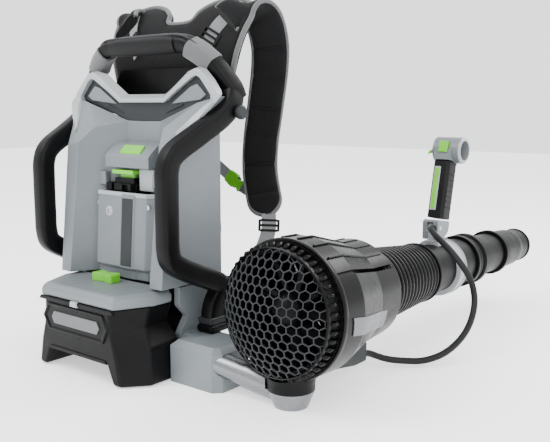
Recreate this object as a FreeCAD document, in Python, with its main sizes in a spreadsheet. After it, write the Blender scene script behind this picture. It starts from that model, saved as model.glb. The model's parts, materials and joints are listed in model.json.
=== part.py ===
import FreeCAD, Part
import math
import os

import Sketcher

# Battery backpack leaf blower, in millimetres.
# +Z is up, +Y is forward (the way the air leaves) and +X is to the wearer's right.
# The origin is on the floor, at the middle of the pack's base.

Vector = FreeCAD.Vector
Rotation = FreeCAD.Rotation
Placement = FreeCAD.Placement
UP = Vector(0, 0, 1)

os.makedirs("parts", exist_ok=True)
doc = FreeCAD.newDocument("BackpackBlower")

DIMENSIONS = [
    ("wall", 4, "moulded wall"),
    ("gap", 0.4, "clearance between pieces that move past each other"),
    ("pack_half", 122, "shell, half of its width"),
    ("pack_back", 41, "shell and base, back face, Y"),
    ("wing_front", -81, "front edge of the shell's two wings, Y"),
    ("wing_inner", 98, "inner edge of each wing's front face, X"),
    ("crease_x", 85, "crease between each wing and its slope, X"),
    ("crease_y", -43, "crease between each wing and its slope, Y"),
    ("panel_half", 41, "flat centre panel, half of its width"),
    ("panel_front", -6, "flat centre panel between the slopes, Y"),
    ("bay_back", -33, "back of the column, of the latch and of the terminals, Y"),
    ("shell_bottom", 142, "bottom edge of the shell, Z"),
    ("slope_start", 345, "where the wings start to slope back, Z"),
    ("shell_top", 397, "top edge of the centre panel, Z"),
    ("wing_top", 425, "top of the shell at its outer edges, Z"),
    ("rim_front", -15, "front face of the top rim, Y"),
    ("rim_back", 0, "back face of the top rim, Y"),
    ("rim_half", 169, "outer corners of the rim, X"),
    ("rim_corner_z", 440, "outer corners of the rim, Z"),
    ("horn_half", 126, "horn tips of the rim, X"),
    ("horn_z", 477, "horn tips of the rim, Z"),
    ("notch_half", 53, "flat bottom of the rim's V notch, X"),
    ("notch_z", 438, "flat bottom of the rim's V notch, Z"),
    ("rim_band", 10, "height of the rim's band"),
    ("column_half", 72, "stem cover, half of its width"),
    ("column_front", -58, "stem cover, front face, Y"),
    ("column_top", 281, "stem cover, top lip, Z"),
    ("battery_half", 115, "battery case at its sides, X"),
    ("battery_back", -160, "battery case, rear face, Y"),
    ("battery_front", -62, "battery case, inner face, Y"),
    ("battery_lift", 2, "battery feet above the floor"),
    ("battery_foot", 130, "battery feet, outer edge, X"),
    ("arch_half", 70, "arch under the battery, half of its width"),
    ("arch_height", 30, "arch under the battery, Z"),
    ("ledge_low", 119, "underside of the battery's top plate, Z"),
    ("ledge_top", 140, "upper face of the battery's top plate, Z"),
    ("bar_x", 150, "side bars, centre plane, X"),
    ("bar_near", -103, "side bars, upright stretch, Y"),
    ("handle_z", 519, "top handle, centre of its grip, Z"),
    ("foot_right", 230, "outer face of the foot block, X"),
    ("foot_top", 67, "top of the foot block, Z"),
    ("pivot_x", 336, "blower swivel axis, X"),
    ("pivot_y", -45, "blower swivel axis, Y"),
    ("collar_z", 25, "underside of the lower collar, Z"),
    ("swivel_z", 35, "swivel face between the two collars, Z"),
    ("collar_radius", 34.5, "both collars, outside"),
    ("spigot_radius", 20, "spigot of the lower collar"),
    ("axis_x", 333, "blower line, X"),
    ("axis_y", -80, "plane of the intake, Y"),
    ("axis_z", 141, "blower line at the intake, Z"),
    ("axis_droop", 1.5, "slope of the blower line, degrees"),
    ("housing_radius", 97, "fan housing, outside"),
    ("grille_radius", 90, "intake grille, outside"),
    ("grille_rise", 30, "height of the grille's dome"),
    ("grille_pitch", 15, "pitch of the grille's hexagons"),
    ("grille_rib", 2.2, "rib between two hexagons"),
    ("duct_radius", 66, "motor duct, outside"),
    ("bellows_start", 218, "near end of the bellows along the blower line"),
    ("bellows_end", 392, "far end of the bellows"),
    ("bellows_near", 67, "bellows, ridge radius at the near end"),
    ("bellows_far", 51, "bellows, ridge radius at the far end"),
    ("ridge_count", 14, "ridges of the bellows"),
    ("tube_radius", 44, "inner tube, outside"),
    ("far_radius", 39, "outer tube, outside"),
    ("coupling_start", 556, "coupling between the two tubes"),
    ("nozzle_start", 700, "near end of the nozzle"),
    ("nozzle_end", 850, "outlet of the nozzle"),
    ("nozzle_radius", 33.5, "nozzle at its outlet, outside"),
    ("outlet_radius", 31, "nozzle outlet, inside"),
    ("clamp_station", 483, "handle clamp along the blower line"),
    ("hinge_y", 380, "handle tilt axis, Y"),
    ("hinge_z", 204, "handle tilt axis, Z"),
    ("grip_lean", 12.5, "forward lean of the grip, degrees"),
    ("cable_radius", 5.5, "control cable in its corrugated sleeve"),
    ("pipe_radius", 18, "support pipe, outside"),
]


class Size:
    """A length with the sheet expression that gives it, so that a shape can be bound to the sheet."""

    def __init__(self, number, text):
        self.number = number
        self.text = text

    def _with(self, other, sign, number):
        return Size(number, "(%s %s %s)" % (self.text, sign, as_size(other).text))

    def __add__(self, other):
        return self._with(other, "+", self.number + as_size(other).number)

    def __sub__(self, other):
        return self._with(other, "-", self.number - as_size(other).number)

    def __radd__(self, other):
        return as_size(other) + self

    def __rsub__(self, other):
        return as_size(other) - self

    def __mul__(self, other):
        return self._with(other, "*", self.number * as_size(other).number)

    def __truediv__(self, other):
        return self._with(other, "/", self.number / as_size(other).number)

    def __neg__(self):
        return Size(-self.number, "(0 - %s)" % self.text)

    def __float__(self):
        return float(self.number)


def as_size(value):
    return value if isinstance(value, Size) else Size(float(value), "%.6g" % value)


sheet = doc.addObject("Spreadsheet::Sheet", "Dimensions")


class Driving:
    """The driving dimensions, one attribute for each cell of the sheet."""


D = Driving()
for row, (alias, value, meaning) in enumerate(DIMENSIONS, 1):
    sheet.set("A%d" % row, meaning)
    sheet.set("B%d" % row, str(value))
    sheet.setAlias("B%d" % row, alias)
    setattr(D, alias, Size(float(value), "Dimensions." + alias))
doc.recompute()

nodes = []


# ---------------------------------------------------------------- building tools

def bind(item, prop, size):
    """Set a length and, where it comes from the sheet, bind it by an expression."""
    size = as_size(size)
    if "Dimensions" in size.text:
        item.setExpression(prop, size.text)
    elif "." not in prop:
        setattr(item, prop, size.number)


def keep(item, label):
    item.Label = label
    nodes.append(item)
    return item


def origin_feature(body, role):
    return next(f for f in body.Origin.OriginFeatures if f.Role == role)


def new_body(label, placement=None):
    body = doc.addObject("PartDesign::Body", label)
    keep(body, label)
    if placement is not None:
        body.Placement = placement
    return body


def new_sketch(body, role, lift=0.0):
    """A sketch on one of the body's planes, lifted along the world axis that the plane faces."""
    sketch = body.newObject("Sketcher::SketchObject", body.Label + "_sketch")
    sketch.AttachmentSupport = (origin_feature(body, role), [""])
    sketch.MapMode = "FlatFace"
    lift = as_size(lift)
    if role == "XZ_Plane":
        lift = -lift
    sketch.AttachmentOffset = Placement(Vector(0, 0, lift.number), Rotation())
    if "Dimensions" in lift.text:
        sketch.setExpression("AttachmentOffset.Base.z", lift.text)
    return sketch


def outline(sketch, corners):
    """A closed outline of straight sides, with each corner bound to the sheet."""
    points = [Vector(float(x), float(y), 0) for x, y in corners]
    first = sketch.GeometryCount
    count = len(points)
    for i in range(count):
        sketch.addGeometry(Part.LineSegment(points[i], points[(i + 1) % count]))
    for i in range(count):
        sketch.addConstraint(Sketcher.Constraint("Coincident", first + i, 2, first + (i + 1) % count, 1))
    for i, (x, y) in enumerate(corners):
        for kind, size in (("DistanceX", as_size(x)), ("DistanceY", as_size(y))):
            index = sketch.addConstraint(Sketcher.Constraint(kind, -1, 1, first + i, 1, size.number))
            if "Dimensions" in size.text:
                sketch.setExpression("Constraints[%d]" % index, size.text)


def circle(sketch, x, y, radius):
    index = sketch.addGeometry(Part.Circle(Vector(float(x), float(y), 0), UP, float(radius)))
    for kind, size in (("DistanceX", as_size(x)), ("DistanceY", as_size(y))):
        place = sketch.addConstraint(Sketcher.Constraint(kind, -1, 1, index, 3, size.number))
        if "Dimensions" in size.text:
            sketch.setExpression("Constraints[%d]" % place, size.text)
    size = as_size(radius)
    place = sketch.addConstraint(Sketcher.Constraint("Radius", index, size.number))
    if "Dimensions" in size.text:
        sketch.setExpression("Constraints[%d]" % place, size.text)


def extrude(body, role, start, length, outlines=(), circles=(), cut=False):
    """Add, or cut, a prism that starts at a height over a plane and runs the positive way."""
    sketch = new_sketch(body, role, start)
    for corners in outlines:
        outline(sketch, corners)
    for x, y, radius in circles:
        circle(sketch, x, y, radius)
    kind = "Pocket" if cut else "Pad"
    feature = body.newObject("PartDesign::" + kind, body.Label + "_" + kind.lower())
    feature.Profile = sketch
    bind(feature, "Length", length)
    feature.Reversed = (role == "XZ_Plane") != cut
    doc.recompute()
    body.Tip = feature
    return feature


def prism(label, role, start, length, outlines=(), circles=(), placement=None):
    body = new_body(label, placement)
    extrude(body, role, start, length, outlines, circles)
    return body


def cut_prism(body, role, start, length, outlines=(), circles=()):
    """Cut a prism, and stop if it cuts nothing."""
    before = body.Shape.Volume
    feature = extrude(body, role, start, length, outlines, circles, cut=True)
    if body.Shape.Volume > before - 1.0:
        raise RuntimeError("a pocket of %s cuts nothing" % body.Label)
    return feature


def turn_profile(body, corners, axis="Y_Axis", angle=360.0):
    """Revolve an outline of (radius, station) corners about one of the body's axes."""
    role = "XY_Plane" if axis == "Y_Axis" else "XZ_Plane"
    sketch = new_sketch(body, role)
    outline(sketch, corners)
    feature = body.newObject("PartDesign::Revolution", body.Label + "_revolution")
    feature.Profile = sketch
    feature.ReferenceAxis = (origin_feature(body, axis), [""])
    feature.Angle = angle
    doc.recompute()
    body.Tip = feature
    return feature


def turned(label, corners, axis="Y_Axis", placement=None, angle=360.0):
    body = new_body(label, placement)
    turn_profile(body, corners, axis, angle)
    return body


def round_edges(body, radius, wanted, kind="Fillet"):
    """Fillet or chamfer the edges of the body that the test picks."""
    base = body.Tip
    names = ["Edge%d" % (i + 1) for i, edge in enumerate(base.Shape.Edges) if wanted(edge)]
    if not names:
        raise RuntimeError("no edge of %s to round" % body.Label)
    feature = body.newObject("PartDesign::" + kind, body.Label + "_" + kind.lower())
    feature.Base = (base, names)
    if kind == "Fillet":
        feature.Radius = radius
    else:
        feature.Size = radius
    doc.recompute()
    body.Tip = feature
    return feature


def is_along(edge, direction):
    if not isinstance(edge.Curve, (Part.Line, Part.LineSegment)):
        return False
    return edge.tangentAt(edge.FirstParameter).cross(direction).Length < 1e-6


def box(label, low, high, placement=None):
    """A rectangular block between two corners, as a padded sketch."""
    corners = [(low[0], low[1]), (high[0], low[1]), (high[0], high[1]), (low[0], high[1])]
    return prism(label, "XY_Plane", low[2], as_size(high[2]) - low[2], [corners], placement=placement)


def cylinder(name, radius, height, place):
    tool = doc.addObject("Part::Cylinder", name)
    bind(tool, "Radius", radius)
    bind(tool, "Height", height)
    tool.Placement = place
    return tool


def cut_node(label, blank, tool):
    """Cut a tool from a finished blank, and keep the result as the node in the blank's place."""
    nodes.remove(blank)
    cut = doc.addObject("Part::Cut", label)
    cut.Base = blank
    cut.Tool = tool
    return keep(cut, label)


def feature_node(label, shape, placement=None):
    item = doc.addObject("Part::Feature", label)
    item.Shape = shape
    if placement is not None:
        item.Placement = placement
    return keep(item, label)


def corner_radii(points, share=0.45):
    """The largest radius at each inner point: a share of the shorter run over tan(half the turn)."""
    radii = []
    for before, here, after in zip(points, points[1:], points[2:]):
        inward, outward = here - before, after - here
        half_turn = inward.getAngle(outward) / 2
        radii.append(share * min(inward.Length, outward.Length) / math.tan(half_turn))
    return radii


def rounded_wire(points, radii):
    """Straight runs joined by arcs that are tangent to both runs."""
    edges = []
    start = points[0]
    for before, here, after, radius in zip(points, points[1:], points[2:], radii):
        inward = (here - before).normalize()
        outward = (after - here).normalize()
        half_turn = inward.getAngle(outward) / 2
        setback = radius * math.tan(half_turn)
        first, last = here - inward * setback, here + outward * setback
        toward_centre = (outward - inward).normalize()
        middle = here + toward_centre * (radius / math.cos(half_turn) - radius)
        if (first - start).Length > 1e-3:
            edges.append(Part.LineSegment(start, first).toShape())
        edges.append(Part.Arc(first, middle, last).toShape())
        start = last
    edges.append(Part.LineSegment(start, points[-1]).toShape())
    return Part.Wire(edges)


def rectangle_section(centre, along, side, width, height, radius):
    """A rounded rectangle across a path; width lies along `side`."""
    along = Vector(along).normalize()
    side = (side - along * side.dot(along)).normalize()
    rise = along.cross(side)
    half_w, half_h = width / 2, height / 2
    corners = [(-half_w, -half_h), (half_w, -half_h), (half_w, half_h), (-half_w, half_h)]
    points = [centre + side * x + rise * y for x, y in corners]
    edges = []
    for i in range(4):
        here, after, last = points[i], points[(i + 1) % 4], points[(i + 2) % 4]
        run = (after - here).normalize()
        turn = (last - after).normalize()
        edges.append(Part.LineSegment(here + run * radius, after - run * radius).toShape())
        middle = after + (turn - run).normalize() * (radius * (math.sqrt(2) - 1))
        edges.append(Part.Arc(after - run * radius, middle, after + turn * radius).toShape())
    return Part.Wire(edges)


def swept(points, side, width, height, radius, bend=None):
    """A bar of rounded rectangular section along straight runs and tangent arcs."""
    radii = corner_radii(points)
    if bend is not None:
        radii = [min(bend, r) for r in radii]
    path = rounded_wire(points, radii)
    section = rectangle_section(points[0], points[1] - points[0], side, width, height, radius)
    return path.makePipeShell([section], True, True)


def tube_along(points, radius):
    """A round cable along the route; its volume must be its section times its length."""
    radii = corner_radii(points)
    path = rounded_wire(points, radii)
    section = Part.Wire([Part.Circle(points[0], points[1] - points[0], radius).toShape()])
    shape = path.makePipeShell([section], True, True)
    ideal = math.pi * radius ** 2 * path.Length
    if abs(shape.Volume - ideal) > 0.01 * ideal:
        raise RuntimeError("the cable's volume is %.1f, not %.1f" % (shape.Volume, ideal))
    print("cable %.1f mm long, radii %s" % (path.Length, [round(r, 1) for r in radii]))
    return shape


def mirrored_points(points):
    return [Vector(-p.x, p.y, p.z) for p in points]


blower_line = Placement(
    Vector(float(D.axis_x), float(D.axis_y), float(D.axis_z)),
    Rotation(Vector(1, 0, 0), -float(D.axis_droop)),
)
SIDES = (("right", 1), ("left", -1))


# ---------------------------------------------------------------- pack structure

def base_frame():
    """Floor plate, two side walls with chevron fronts, and the foot block that holds the pipe."""
    inner = D.pack_half - 12
    plate = [(-inner, -36), (inner, -36), (inner, D.pack_back), (-inner, D.pack_back)]
    body = prism("base_blank", "XY_Plane", 0, 12, [plate])
    side_profile = [(-36, 0), (D.pack_back, 0), (D.pack_back, D.shell_bottom - 1),
                    (-54, D.shell_bottom - 1), (-54, 112), (-36, 92), (-54, 66), (-54, 14)]
    for _, side in SIDES:
        start = inner if side > 0 else -(inner + 12)
        extrude(body, "YZ_Plane", start, 12, [side_profile])
    near = D.battery_foot + 1.5
    foot = [(D.pack_half - 1, -52), (near, -52), (near, -85), (D.foot_right - 12, -85), (D.foot_right, -73),
            (D.foot_right, -20), (D.foot_right - 16, 2), (D.pack_half - 1, 2)]
    extrude(body, "XY_Plane", 0, D.foot_top, [foot])
    lug_out, lug_in = -(D.bar_x + 16), -(D.pack_half - 1)
    lug = [(lug_out, -34), (lug_in, -34), (lug_in, 10), (lug_out, 10)]
    extrude(body, "XY_Plane", 30, D.foot_top - 30, [lug])
    hollow = [(near + 6, -75), (D.foot_right - 20, -75), (D.foot_right - 20, -10), (near + 6, -10)]
    cut_prism(body, "XY_Plane", 0, 18, [hollow])
    round_edges(body, 9, lambda e: abs(e.BoundBox.ZMin - float(D.foot_top)) < 0.01
                and abs(e.BoundBox.ZMax - float(D.foot_top)) < 0.01
                and e.CenterOfMass.x > float(D.pack_half) + 1, "Chamfer")
    start, run = pipe_run()
    bore = cylinder("pipe_bore", D.pipe_radius + 0.05, run.Length + 0.1, Placement(start, Rotation(UP, run)))
    cut_node("base_frame", body, bore)


def pipe_run():
    """Start and run of the support pipe, which is held in the foot block at its near end."""
    start = Vector(float(D.foot_right) - 16, -66, 42)
    return start, Vector(296, -52, 27) - start


def back_plate():
    half, top = D.pack_half - 4, D.horn_z + 7
    corners = [(-105, 14), (105, 14), (half, D.shell_bottom), (half, 395), (D.rim_half - 19, 432),
               (112, top), (-112, top), (-(D.rim_half - 19), 432), (-half, 395), (-half, D.shell_bottom)]
    body = prism("back_plate", "XZ_Plane", D.pack_back, 6, [corners])
    slot = [(-60, 60), (60, 60), (60, 110), (-60, 110)]
    cut_prism(body, "XZ_Plane", D.pack_back, 6, [slot])


def shell():
    """Grey shell: a flat centre panel between two hollow wings, closed above and open behind."""
    out, front, panel, back = D.pack_half, D.wing_front, D.panel_front, D.pack_back
    outside = [(D.panel_half, panel), (D.crease_x, D.crease_y), (D.wing_inner, front), (out - 8, front),
               (out, front + 10), (out, back)]
    inside = [(D.panel_half + 1.5, panel + 4), (D.crease_x + 3.4, D.crease_y + 2.4),
              (D.wing_inner + 3, front + 4), (out - 9.5, front + 4), (out - 4, front + 11.5),
              (out - 4, back + 1)]
    blank = wing_block("shell_blank", outside, 0)
    room = wing_block("shell_room", inside, D.wall)
    nodes.remove(room)
    cut_node("shell", blank, room)


def wing_block(label, half_plan, drop):
    """A block with the shell's plan; its top is cut to the V and to the wings' slope, less a drop."""
    plan = [(-x, y) for x, y in reversed(half_plan)] + half_plan
    low = D.shell_bottom - drop
    body = prism(label, "XY_Plane", low, D.wing_top - drop - low, [plan])
    span = D.pack_half + 1
    slope = [(D.wing_front - 1, D.slope_start - drop), (D.rim_front, D.wing_top + 3 - drop),
             (D.rim_front, D.wing_top + 9), (D.wing_front - 1, D.wing_top + 9)]
    cut_prism(body, "YZ_Plane", -span, span * 2, [slope])
    far = span + 10
    notch = [(-far, D.wing_top - drop), (-D.panel_half, D.shell_top - drop),
             (D.panel_half, D.shell_top - drop), (far, D.wing_top - drop), (far, D.wing_top + 9),
             (-far, D.wing_top + 9)]
    cut_prism(body, "XZ_Plane", D.wing_front - 2, D.pack_back - D.wing_front + 4, [notch])
    return body


def top_rim():
    """Light band that runs from side to side over the two horns and through the V notch."""
    band = D.rim_band
    side = D.pack_half + 0.4
    upper = [(side, D.shell_top - 1), (D.rim_half, D.rim_corner_z), (D.horn_half, D.horn_z),
             (D.notch_half, D.notch_z)]
    lower = [(D.notch_half + 3, D.notch_z - band), (D.horn_half - 1, D.horn_z - band - 4),
             (D.rim_half - band - 4, D.rim_corner_z - 1), (side, D.shell_top + 13)]
    corners = upper + [(-x, z) for x, z in reversed(upper)] + [(-x, z) for x, z in reversed(lower)] + lower
    prism("top_rim", "XZ_Plane", D.rim_front, D.rim_back - D.rim_front, [corners])


def rim_liner():
    """Dark panel that closes the space between the shell's top edge and the rim."""
    band = D.rim_band
    upper = [(D.panel_half, D.shell_top + 0.4), (D.pack_half + 11, D.wing_top + 0.4),
             (D.rim_half - 19, D.rim_corner_z - 2), (D.horn_half - 1, D.horn_z - band - 4.6),
             (D.notch_half + 3, D.notch_z - band - 0.4)]
    corners = upper + [(-x, z) for x, z in reversed(upper)]
    prism("rim_liner", "XZ_Plane", D.rim_front + 5, 8, [corners])


def column_cover():
    """Upright cover over the battery's stem, open below, above and behind."""
    half, front, wall = D.column_half, D.column_front, D.wall
    back = D.bay_back
    ring = [(-half, back), (-half, front + 8), (-(half - 8), front), (half - 8, front), (half, front + 8),
            (half, back), (half - wall, back), (half - wall, front + 10), (half - 10, front + wall),
            (-(half - 10), front + wall), (-(half - wall), front + 10), (-(half - wall), back)]
    body = prism("column_cover", "XY_Plane", D.ledge_top + 2, D.column_top - D.ledge_top - 2, [ring])
    rib = [(-10, front - 2), (27, front - 2), (27, front + 1), (-10, front + 1)]
    extrude(body, "XY_Plane", D.ledge_top + 2, D.column_top - D.ledge_top - 2, [rib])


def latch_block():
    """Block with a sloped top that holds the release button and reaches back to the panel."""
    front, back = D.bay_back - 17, D.bay_back + 16
    profile = [(front, 322), (back, 322), (back, 362), (D.bay_back + 3, 358), (front + 3, 344),
               (front, 340)]
    body = prism("latch_block", "YZ_Plane", -D.notch_half, D.notch_half * 2, [profile])
    rear = [(back, 322), (D.panel_front - 0.4, 322), (D.panel_front - 0.4, 364), (back, 362)]
    extrude(body, "YZ_Plane", -(D.panel_half - 1), (D.panel_half - 1) * 2, [rear])
    pocket = [(-21, front + 4), (29, front + 4), (29, front + 16), (-21, front + 16)]
    cut_prism(body, "XY_Plane", 330, 40, [pocket])


def release_button():
    front = D.bay_back - 17
    profile = [(front + 4 + D.gap, 336), (front + 16 - D.gap, 336), (front + 16 - D.gap, 359),
               (front + 4 + D.gap, 348)]
    prism("release_button", "YZ_Plane", -21 + D.gap, 50 - D.gap * 2, [profile])


def terminal_block():
    """Black terminal housing with two prongs that stands over the column's lip."""
    back = D.bay_back + 3
    body = prism("terminal_block", "XY_Plane", 270, 26,
                 [[(-54, back - 12), (15, back - 12), (15, back), (-54, back)]])
    foot = D.panel_half - 1
    extrude(body, "XY_Plane", 270, 26,
            [[(-foot, back), (15, back), (15, D.panel_front - 0.4), (-foot, D.panel_front - 0.4)]])
    prongs = [[(-50, back - 22), (-36, back - 22), (-36, back - 12), (-50, back - 12)],
              [(-30, back - 22), (11, back - 22), (11, back - 12), (-30, back - 12)]]
    extrude(body, "XY_Plane", 284, 12, prongs)
    extrude(body, "XY_Plane", 296, 9, [[(-34, back - 16), (13, back - 16), (13, back), (-34, back)]])
    cut_prism(body, "XZ_Plane", back - 30, 14, [[(-10, 280), (4, 280), (4, 294), (-10, 294)]])
    cut_prism(body, "XY_Plane", 292, 20, [ejector_slot(0)])


def ejector_slot(inset):
    """Slot in the terminal block, or with an inset the ejector's stem that slides in it."""
    near, far = D.bay_back - 7 + inset, D.bay_back - 1 - inset
    left, right = -28 + inset, 8 - inset
    return [(left, near), (right, near), (right, far), (left, far)]


def ejector_cap():
    """Sprung cap that pushes the battery off the terminals."""
    back = D.bay_back + 3
    body = prism("ejector_cap", "XY_Plane", 299, 14, [ejector_slot(D.gap)])
    extrude(body, "XY_Plane", 311, 7, [[(-36, back - 20), (15, back - 20), (15, back - 1), (-36, back - 1)]])


def controller_board():
    """Circuit board with its capacitors and heat sink, screwed to the back plate."""
    body = prism("controller_board", "XZ_Plane", 18, 2.0, [[(-60, 190), (60, 190), (60, 290), (-60, 290)]])
    posts = [(x, z, 3.5) for x in (-52, 52) for z in (198, 282)]
    extrude(body, "XZ_Plane", 20, D.pack_back - 20, circles=posts)
    extrude(body, "XZ_Plane", 2, 16, [[(-50, 200), (-8, 200), (-8, 280), (-50, 280)]])
    extrude(body, "XZ_Plane", 0, 18, circles=[(x, z, 9) for x in (15, 40) for z in (215, 240, 265)])


def side_bars():
    """D-shaped bars that carry the pack and guard its sides."""
    for name, side in SIDES:
        x = float(D.bar_x) * side
        near = float(D.bar_near)
        route = [Vector(x + 8 * side, 30, 414), Vector(x + 5 * side, -47, 376), Vector(x, near, 345),
                 Vector(x, near, 199), Vector(x, 14, 138), Vector(x, -9, 104),
                 Vector(x, -9, float(D.foot_top) + 0.3)]
        shape = swept(route, Vector(side, 0, 0), 28, 36, 8, bend=34)
        feature_node("side_bar_" + name, shape)


HANDLE_RAKE = 0.42
HANDLE_FACE = Vector(0, 1, HANDLE_RAKE).normalize()


def handle_point(x, z):
    """A point of the top handle's middle line, in a plane that rakes back towards the shoulders."""
    return Vector(x, HANDLE_RAKE * (float(D.handle_z) - z) - 1, z)


def sleeve(start, run, width, height, thick):
    """A sleeve round the handle's section, along one straight run."""
    outer = rectangle_section(start, run, HANDLE_FACE, width + 2 * thick, height + 2 * thick, 8 + thick)
    inner = rectangle_section(start, run, HANDLE_FACE, width, height, 7)
    return Part.Face(outer).extrude(run).cut(Part.Face(inner).extrude(run))


def top_handle():
    """Bent tube from shoulder to shoulder, with a rubber grip on its flat top."""
    right = [handle_point(160, 441), handle_point(137, 487), handle_point(88, float(D.handle_z))]
    route = right + mirrored_points(reversed(right))
    feature_node("top_handle", swept(route, HANDLE_FACE, 28, 24, 8, bend=30))


def handle_grip():
    start = handle_point(-64, float(D.handle_z))
    feature_node("handle_grip", sleeve(start, Vector(128, 0, 0), 28.4, 24.4, 2.5))


def handle_loops():
    """Webbing loops round the sloping ends of the handle, one each side."""
    loops = []
    for _, side in SIDES:
        low, high = handle_point(137 * side, 487), handle_point(88 * side, float(D.handle_z))
        run = high - low
        loops.append(sleeve(low + run * 0.33, run * 0.3, 28.6, 24.6, 2))
    feature_node("handle_loops", Part.makeCompound(loops))


def hanger_stud():
    """Stud with a mushroom head on the right shoulder, for the blower's tether."""
    body = new_body("hanger_stud", Placement(Vector(172.4, 22, 412), Rotation(Vector(0, 1, 0), 90)))
    turn_profile(body, [(0, 0), (6, 0), (6, 9), (10, 9), (11, 12), (11, 16), (8, 19), (0, 19)], "Z_Axis")


def support_arm():
    """Pipe from the foot block to the elbow under the blower, and the swivel's lower collar."""
    start, run = pipe_run()
    end = start + run
    turn = Rotation(UP, run)
    keep(cylinder("support_pipe", D.pipe_radius, run.Length, Placement(start, turn)), "support_pipe")
    pivot = Vector(float(D.pivot_x), float(D.pivot_y), 0)
    cone = doc.addObject("Part::Cone", "elbow_cone")
    cone.Radius1 = 25
    bind(cone, "Radius2", D.collar_radius)
    bind(cone, "Height", D.collar_z)
    cone.Placement = Placement(pivot, Rotation())
    mouth = start + run * 0.62
    socket = cylinder("elbow_socket", D.pipe_radius + 2.8, 62, Placement(mouth, turn))
    bore = cylinder("elbow_bore", D.pipe_radius + 0.05, (end - mouth).Length + 0.1, Placement(mouth, turn))
    collar_room = cylinder("collar_room", D.collar_radius + 3, 80,
                           Placement(pivot + UP * float(D.collar_z), Rotation()))
    solid = doc.addObject("Part::MultiFuse", "elbow_solid")
    solid.Shapes = [cone, socket]
    tools = doc.addObject("Part::MultiFuse", "elbow_tools")
    tools.Shapes = [bore, collar_room]
    elbow = doc.addObject("Part::Cut", "pivot_elbow")
    elbow.Base = solid
    elbow.Tool = tools
    keep(elbow, "pivot_elbow")
    low, seat, top = D.collar_z, D.swivel_z, D.swivel_z + 7
    turned("lower_collar", [(0, low), (D.collar_radius, low), (D.collar_radius, seat),
                            (D.spigot_radius, seat), (D.spigot_radius, top), (0, top)],
           "Z_Axis", Placement(pivot, Rotation()))


def cover_screws():
    """Screws that hold the shell and the stem cover: one group of identical solids."""
    screws = []
    for x in (-60, 60):
        for z in (160, 262):
            start = Vector(x, float(D.column_front) - 1.5, z)
            screws.append(Part.makeCylinder(4, 1.5, start, Vector(0, 1, 0)))
    feature_node("cover_screws", Part.makeCompound(screws))


# ---------------------------------------------------------------- harness

def harness_pads():
    """Back pad, waist belt, yoke and shoulder straps as plain closed solids."""
    back = D.pack_back + 6.5
    pad = [(-92, 146), (92, 146), (100, 214), (84, 420), (50, 470), (-50, 470), (-84, 420), (-100, 214)]
    body = prism("back_pad", "XZ_Plane", back, 26, [pad])
    round_edges(body, 9, lambda e: e.BoundBox.YMin > float(back) + 25.9)
    belt = [(-205, 20), (-150, 2), (-118, 0), (118, 0), (150, 2), (205, 20), (200, 36), (148, 24),
            (112, 26), (-112, 26), (-148, 24), (-200, 36)]
    belt = [(x, back + y) for x, y in belt]
    prism("waist_belt", "XY_Plane", 52, 88, [belt])
    half = [(66, 475), (98, 456), (128, 453), (146, 504), (156, 545), (150, 572), (128, 585), (97, 588),
            (58, 586), (38, 575), (26, 562)]
    yoke = half + [(-x, z) for x, z in reversed(half)]
    body = prism("yoke_pad", "XZ_Plane", back + 2, 20, [yoke])
    round_edges(body, 7, lambda e: e.BoundBox.YMin > float(back) + 21.9)


def strap_route(side):
    """Middle line of a shoulder strap, from the yoke over the shoulder and down the front."""
    points = [(128, 80, 566), (143, 112, 574), (137, 146, 530), (130, 160, 486), (114, 166, 424),
              (105, 164, 354), (116, 152, 303), (152, 132, 240)]
    return [Vector(x * side, y, z) for x, y, z in points]


def shoulder_straps():
    for name, side in SIDES:
        shape = swept(strap_route(side), Vector(0.78 * side, 0.62, 0), 58, 14, 6)
        feature_node("shoulder_strap_" + name, shape)


def webbing():
    lifters, lowers = [], []
    for _, side in SIDES:
        lifter = [Vector(79 * side, 46, 508), Vector(105 * side, 46, 552), Vector(124 * side, 46, 600),
                  Vector(132 * side, 70, 611), Vector(142 * side, 98, 606)]
        lifters.append(swept(lifter, Vector(side, 0, 0), 25, 2, 0.8))
        lower = [Vector(154 * side, 128, 232), Vector(158 * side, 118, 204), Vector(152 * side, 100, 172),
                 Vector(138 * side, 82, 140)]
        lowers.append(swept(lower, Vector(0.78 * side, 0.62, 0), 25, 2, 0.8))
    feature_node("harness_webbing", Part.makeCompound(lifters + lowers))


def chest_strap():
    """Chest strap between the two shoulder straps, with its side-release buckle."""
    side = Vector(0, 0.2, 1)
    left = [Vector(-88, 158, 345), Vector(-40, 156, 331), Vector(8, 152, 318), Vector(42, 150, 300)]
    right = [Vector(74, 149, 281), Vector(82, 149, 277), Vector(89, 150, 275)]
    strips = [swept(points, side, 20, 2, 0.8) for points in (left, right)]
    feature_node("chest_strap", Part.makeCompound(strips))
    run = Vector(74, 149, 281) - left[-1]
    shape = Part.Face(rectangle_section(left[-1] + run * 0.03, run, side, 26, 10, 3)).extrude(run * 0.94)
    feature_node("chest_buckle", shape)


# ---------------------------------------------------------------- battery

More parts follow.
